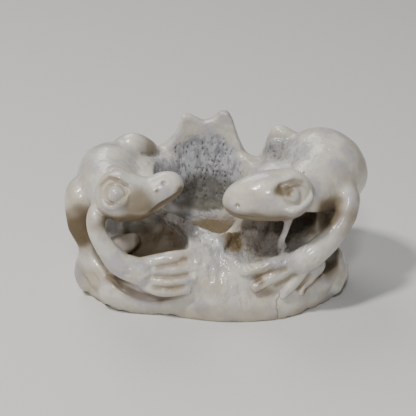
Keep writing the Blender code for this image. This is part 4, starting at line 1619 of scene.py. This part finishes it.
@dataclass
class Carving:
    """The whole carving, from clay to a dressed mesh."""

    burr: Burr = field(default_factory=Burr)
    frogs: tuple[Frog, ...] = (LEFT, RIGHT)
    core: Core = field(default_factory=Core)
    wear: Wear = field(default_factory=Wear)
    dirt_and_shade: DirtAndShade = field(default_factory=DirtAndShade)
    finish: PolishedAntler = field(default_factory=PolishedAntler)
    strut: tuple[Station, ...] = (
        (14.6, -13.6, 21.4, 0.9), (13.7, -14.2, 18.0, 0.65), (12.9, -13.8, 15.4, 0.8),
        (13.4, -12.8, 12.9, 1.3),
    )
    web: tuple[Station, ...] = (
        (-20.4, -12.6, 13.2, 2.4), (-18.2, -11.6, 13.7, 2.1), (-16.4, -10.2, 14.0, 1.6),
    )
    strut_blend: float = 0.4
    web_blend: float = 0.5
    foot_round: float = 0.25  # of the underside's corner
    # How far round each point the skin is looked at for grooves and for hollows, in mm, and from which
    # share shut in each mark begins and at which it is full; these two marks paint shade into the
    # grooves and hollows. A pore's mark goes by its depth in mm.
    groove_shade_reach: float = 1.8
    groove_shade_shares: tuple[float, float] = (0.20, 0.60)
    deep_shade_reach: float = 11.0
    deep_shade_shares: tuple[float, float] = (0.46, 0.92)
    pore_depths: tuple[float, float] = (0.05, 0.26)
    triangles: int = 190_000
    inset: float = 0.01  # how far inside the solid's box it stays, in mm

    def sculpt(self, clay: Clay) -> Grid:
        """Models the carving.

        Args:
            clay: The empty block.

        Returns:
            The block's distances before the pores were cut.
        """
        self.burr.build(clay, [frog.torso for frog in self.frogs])
        clay.limb(self.strut, Stroke.ADD, self.strut_blend)
        clay.limb(self.web, Stroke.ADD, self.web_blend)
        for frog in self.frogs:
            frog.build_limbs(clay, self.dirt_and_shade)
            frog.build_head(clay, self.dirt_and_shade)
            log.info("%s modelled", frog.name)
        self.wear.rough_up(clay)
        self.wear.build(clay, self.dirt_and_shade)
        ground = clay.everywhere()[2] * np.ones_like(clay.skin)
        clay.skin = soft_higher(clay.skin, -ground, self.foot_round)
        whole = clay.skin.copy()
        log.info("%d pores cut", self.core.build(clay))
        return whole

    def dress(self, clay: Clay, whole: Grid, mesh: bpy.types.Mesh) -> None:
        """Gives each point of the mesh its normal and its marks, which the material reads, among them the
        painted shade of its grooves and hollows.

        Args:
            clay: The modelled block.
            whole: The block's distances before the pores were cut.
            mesh: The mesh in metres, before centring.
        """
        points = mesh_points(mesh) / MM
        out = clay.outward(points)
        depth = -clay.sample(whole, points)
        values = {
            "core": strongest(self.core.zones, points),
            # groove and deep paint shade into grooves and hollows by how shut in they are.
            "groove": ramp(*self.groove_shade_shares, clay.shut_in(points, out, self.groove_shade_reach)),
            "deep": ramp(*self.deep_shade_shares, clay.shut_in(points, out, self.deep_shade_reach)),
            # stain carries real stains together with painted shade.
            "stain_and_shade": self.dirt_and_shade.shows(points),
            # soot carries old dirt together with painted shade.
            "soot_and_shade": strongest(self.dirt_and_shade.soot_and_shade, points),
            "scuff": strongest(self.wear.scuffed, points),
            "pore": ramp(*self.pore_depths, depth),
        }
        for name, value in values.items():
            log.info("%s: mean %.2f, a tenth over %.2f", name, value.mean(), np.quantile(value, 0.9))
            layer = mesh.attributes.new(name, "FLOAT", "POINT")
            layer.data.foreach_set("value", value.astype(np.float32))
        mesh.normals_split_custom_set_from_vertices(out.tolist())

    def settle(self, mesh: bpy.types.Mesh, box: tuple[Point, Point]) -> None:
        """Moves the mesh into the solid's box, and eases it by the hair that it is larger.

        Args:
            mesh: The carving's mesh, in metres.
            box: The lowest and highest corners of the solid.
        """
        points = mesh_points(mesh)
        low, high = points.min(0), points.max(0)
        want_low, want_high = (np.array(corner) for corner in box)
        share = (want_high - want_low - 2 * self.inset * MM) / (high - low)
        log.info("eased by %s", np.round(share, 4))
        points = (points - (low + high) / 2) * share + (want_low + want_high) / 2
        points[:, 2] -= points[:, 2].min() - want_low[2]
        mesh.vertices.foreach_set("co", points.astype(np.float32).ravel())
        mesh.update()

    def build(self, box: tuple[Point, Point]) -> bpy.types.Object:
        """Sculpts, draws off and dresses the carving.

        Args:
            box: The lowest and highest corners of the solid that it dresses.

        Returns:
            The carving, in place over the origin.
        """
        clay = Clay()
        whole = self.sculpt(clay)
        points, faces = clay.draw_skin()
        mesh = bpy.data.meshes.new("antler_frogs")
        mesh.vertices.add(len(points))
        mesh.vertices.foreach_set("co", (points * MM).ravel())
        mesh.loops.add(faces.size)
        mesh.loops.foreach_set("vertex_index", faces.ravel())
        mesh.polygons.add(len(faces))
        mesh.polygons.foreach_set("loop_start", np.arange(0, faces.size, 4))
        mesh.update(calc_edges=True)
        mesh.validate()
        piece = put("antler_frogs", mesh)
        thin = piece.modifiers.new("thin", "DECIMATE")
        thin.ratio = min(1.0, self.triangles / (2 * len(faces)))
        bpy.context.view_layer.update()
        graph = bpy.context.evaluated_depsgraph_get()
        thinned = bpy.data.meshes.new_from_object(piece.evaluated_get(graph))
        piece.modifiers.clear()
        piece.data = thinned
        thinned.polygons.foreach_set("use_smooth", [True] * len(thinned.polygons))
        self.dress(clay, whole, thinned)
        self.settle(thinned, box)
        thinned.materials.append(self.finish.material())
        log.info("carving: %d faces from %d", len(thinned.polygons), len(faces))
        return piece


@dataclass(frozen=True)
class Lamp:
    """A soft square light that faces the carving."""

    name: str
    place: Point  # in metres
    size: float  # of its side, in metres
    watts: float
    colour: str

    def hang(self, aim: Point) -> None:
        """Hangs it.

        Args:
            aim: The point that it faces, in metres.
        """
        data = bpy.data.lights.new(self.name, "AREA")
        data.size = self.size
        data.energy = self.watts
        data.color = linear(self.colour)[:3]
        lamp = put(self.name, data)
        lamp.location = self.place
        way = Vector(aim) - Vector(self.place)
        lamp.rotation_euler = way.to_track_quat("-Z", "Y").to_euler()


@dataclass(frozen=True)
class Studio:
    """A pale floor, soft lights and a camera that looks down on the frogs' faces."""

    lamps: tuple[Lamp, ...] = (
        Lamp("window", (-0.20, -0.15, 0.44), 0.06, 1.9, "#fffdf8"),
        Lamp("bounce", (-0.02, -0.395, 0.345), 0.05, 0.85, "#f6f8ff"),
        Lamp("back", (-0.16, 0.34, 0.42), 0.25, 0.9, "#ffffff"),
    )
    aim: Point = (0.0, 0.0, 0.015)  # the point that the lamps face
    room_colour: str = "#dfe2e6"
    room_light: float = 0.22
    floor_colour: str = "#d8d6d2"
    floor_gloss: float = 0.7
    reach: float = 3.0
    elevation: float = 24.0
    distance: float = 0.300
    focus: Point = (-0.001692, -0.000184, 0.015988)  # the point the camera looks at
    frame: int = 416
    scale: float = 4.91  # pixels to the millimetre at the focus

    def floor(self) -> bpy.types.Object:
        """Lays the floor, marked as no part of the carving.

        Returns:
            The floor.
        """
        bpy.ops.mesh.primitive_plane_add(size=2 * self.reach)
        floor = bpy.context.object
        floor.name = "floor"
        material = bpy.data.materials.new("pale_board")
        material.use_nodes = True
        shader = material.node_tree.nodes["Principled BSDF"]
        shader.inputs["Base Color"].default_value = linear(self.floor_colour)
        shader.inputs["Roughness"].default_value = self.floor_gloss
        floor.data.materials.append(material)
        floor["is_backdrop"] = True
        return floor

    def camera(self) -> None:
        """Sets the camera at the photograph's angle, framing and distance."""
        data = bpy.data.cameras.new("camera")
        data.sensor_width = 36.0
        data.lens = self.scale * self.distance / MM / self.frame * data.sensor_width
        data.clip_start, data.clip_end = 0.01, 20.0
        camera = put("camera", data)
        tilt = math.radians(self.elevation)
        back = Vector((0.0, -math.cos(tilt), math.sin(tilt)))
        camera.location = Vector(self.focus) + back * self.distance
        camera.rotation_euler = (math.pi / 2 - tilt, 0.0, 0.0)
        bpy.context.scene.camera = camera

    def build(self) -> None:
        """Sets up the floor, the lights, the pale surroundings and the camera."""
        self.floor()
        for lamp in self.lamps:
            lamp.hang(self.aim)
        world = bpy.data.worlds.new("surroundings")
        world.use_nodes = True
        sky = world.node_tree.nodes["Background"]
        sky.inputs["Color"].default_value = linear(self.room_colour)
        sky.inputs["Strength"].default_value = self.room_light
        bpy.context.scene.world = world
        self.camera()


def main() -> None:
    """Loads the frame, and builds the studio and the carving."""
    logging.basicConfig(level=logging.INFO, format="%(message)s")
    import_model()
    frame_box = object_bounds()
    Studio().build()
    carving = Carving().build(frame_box)
    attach(carving, "root")
    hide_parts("carving")


if __name__ == "__main__":
    main()
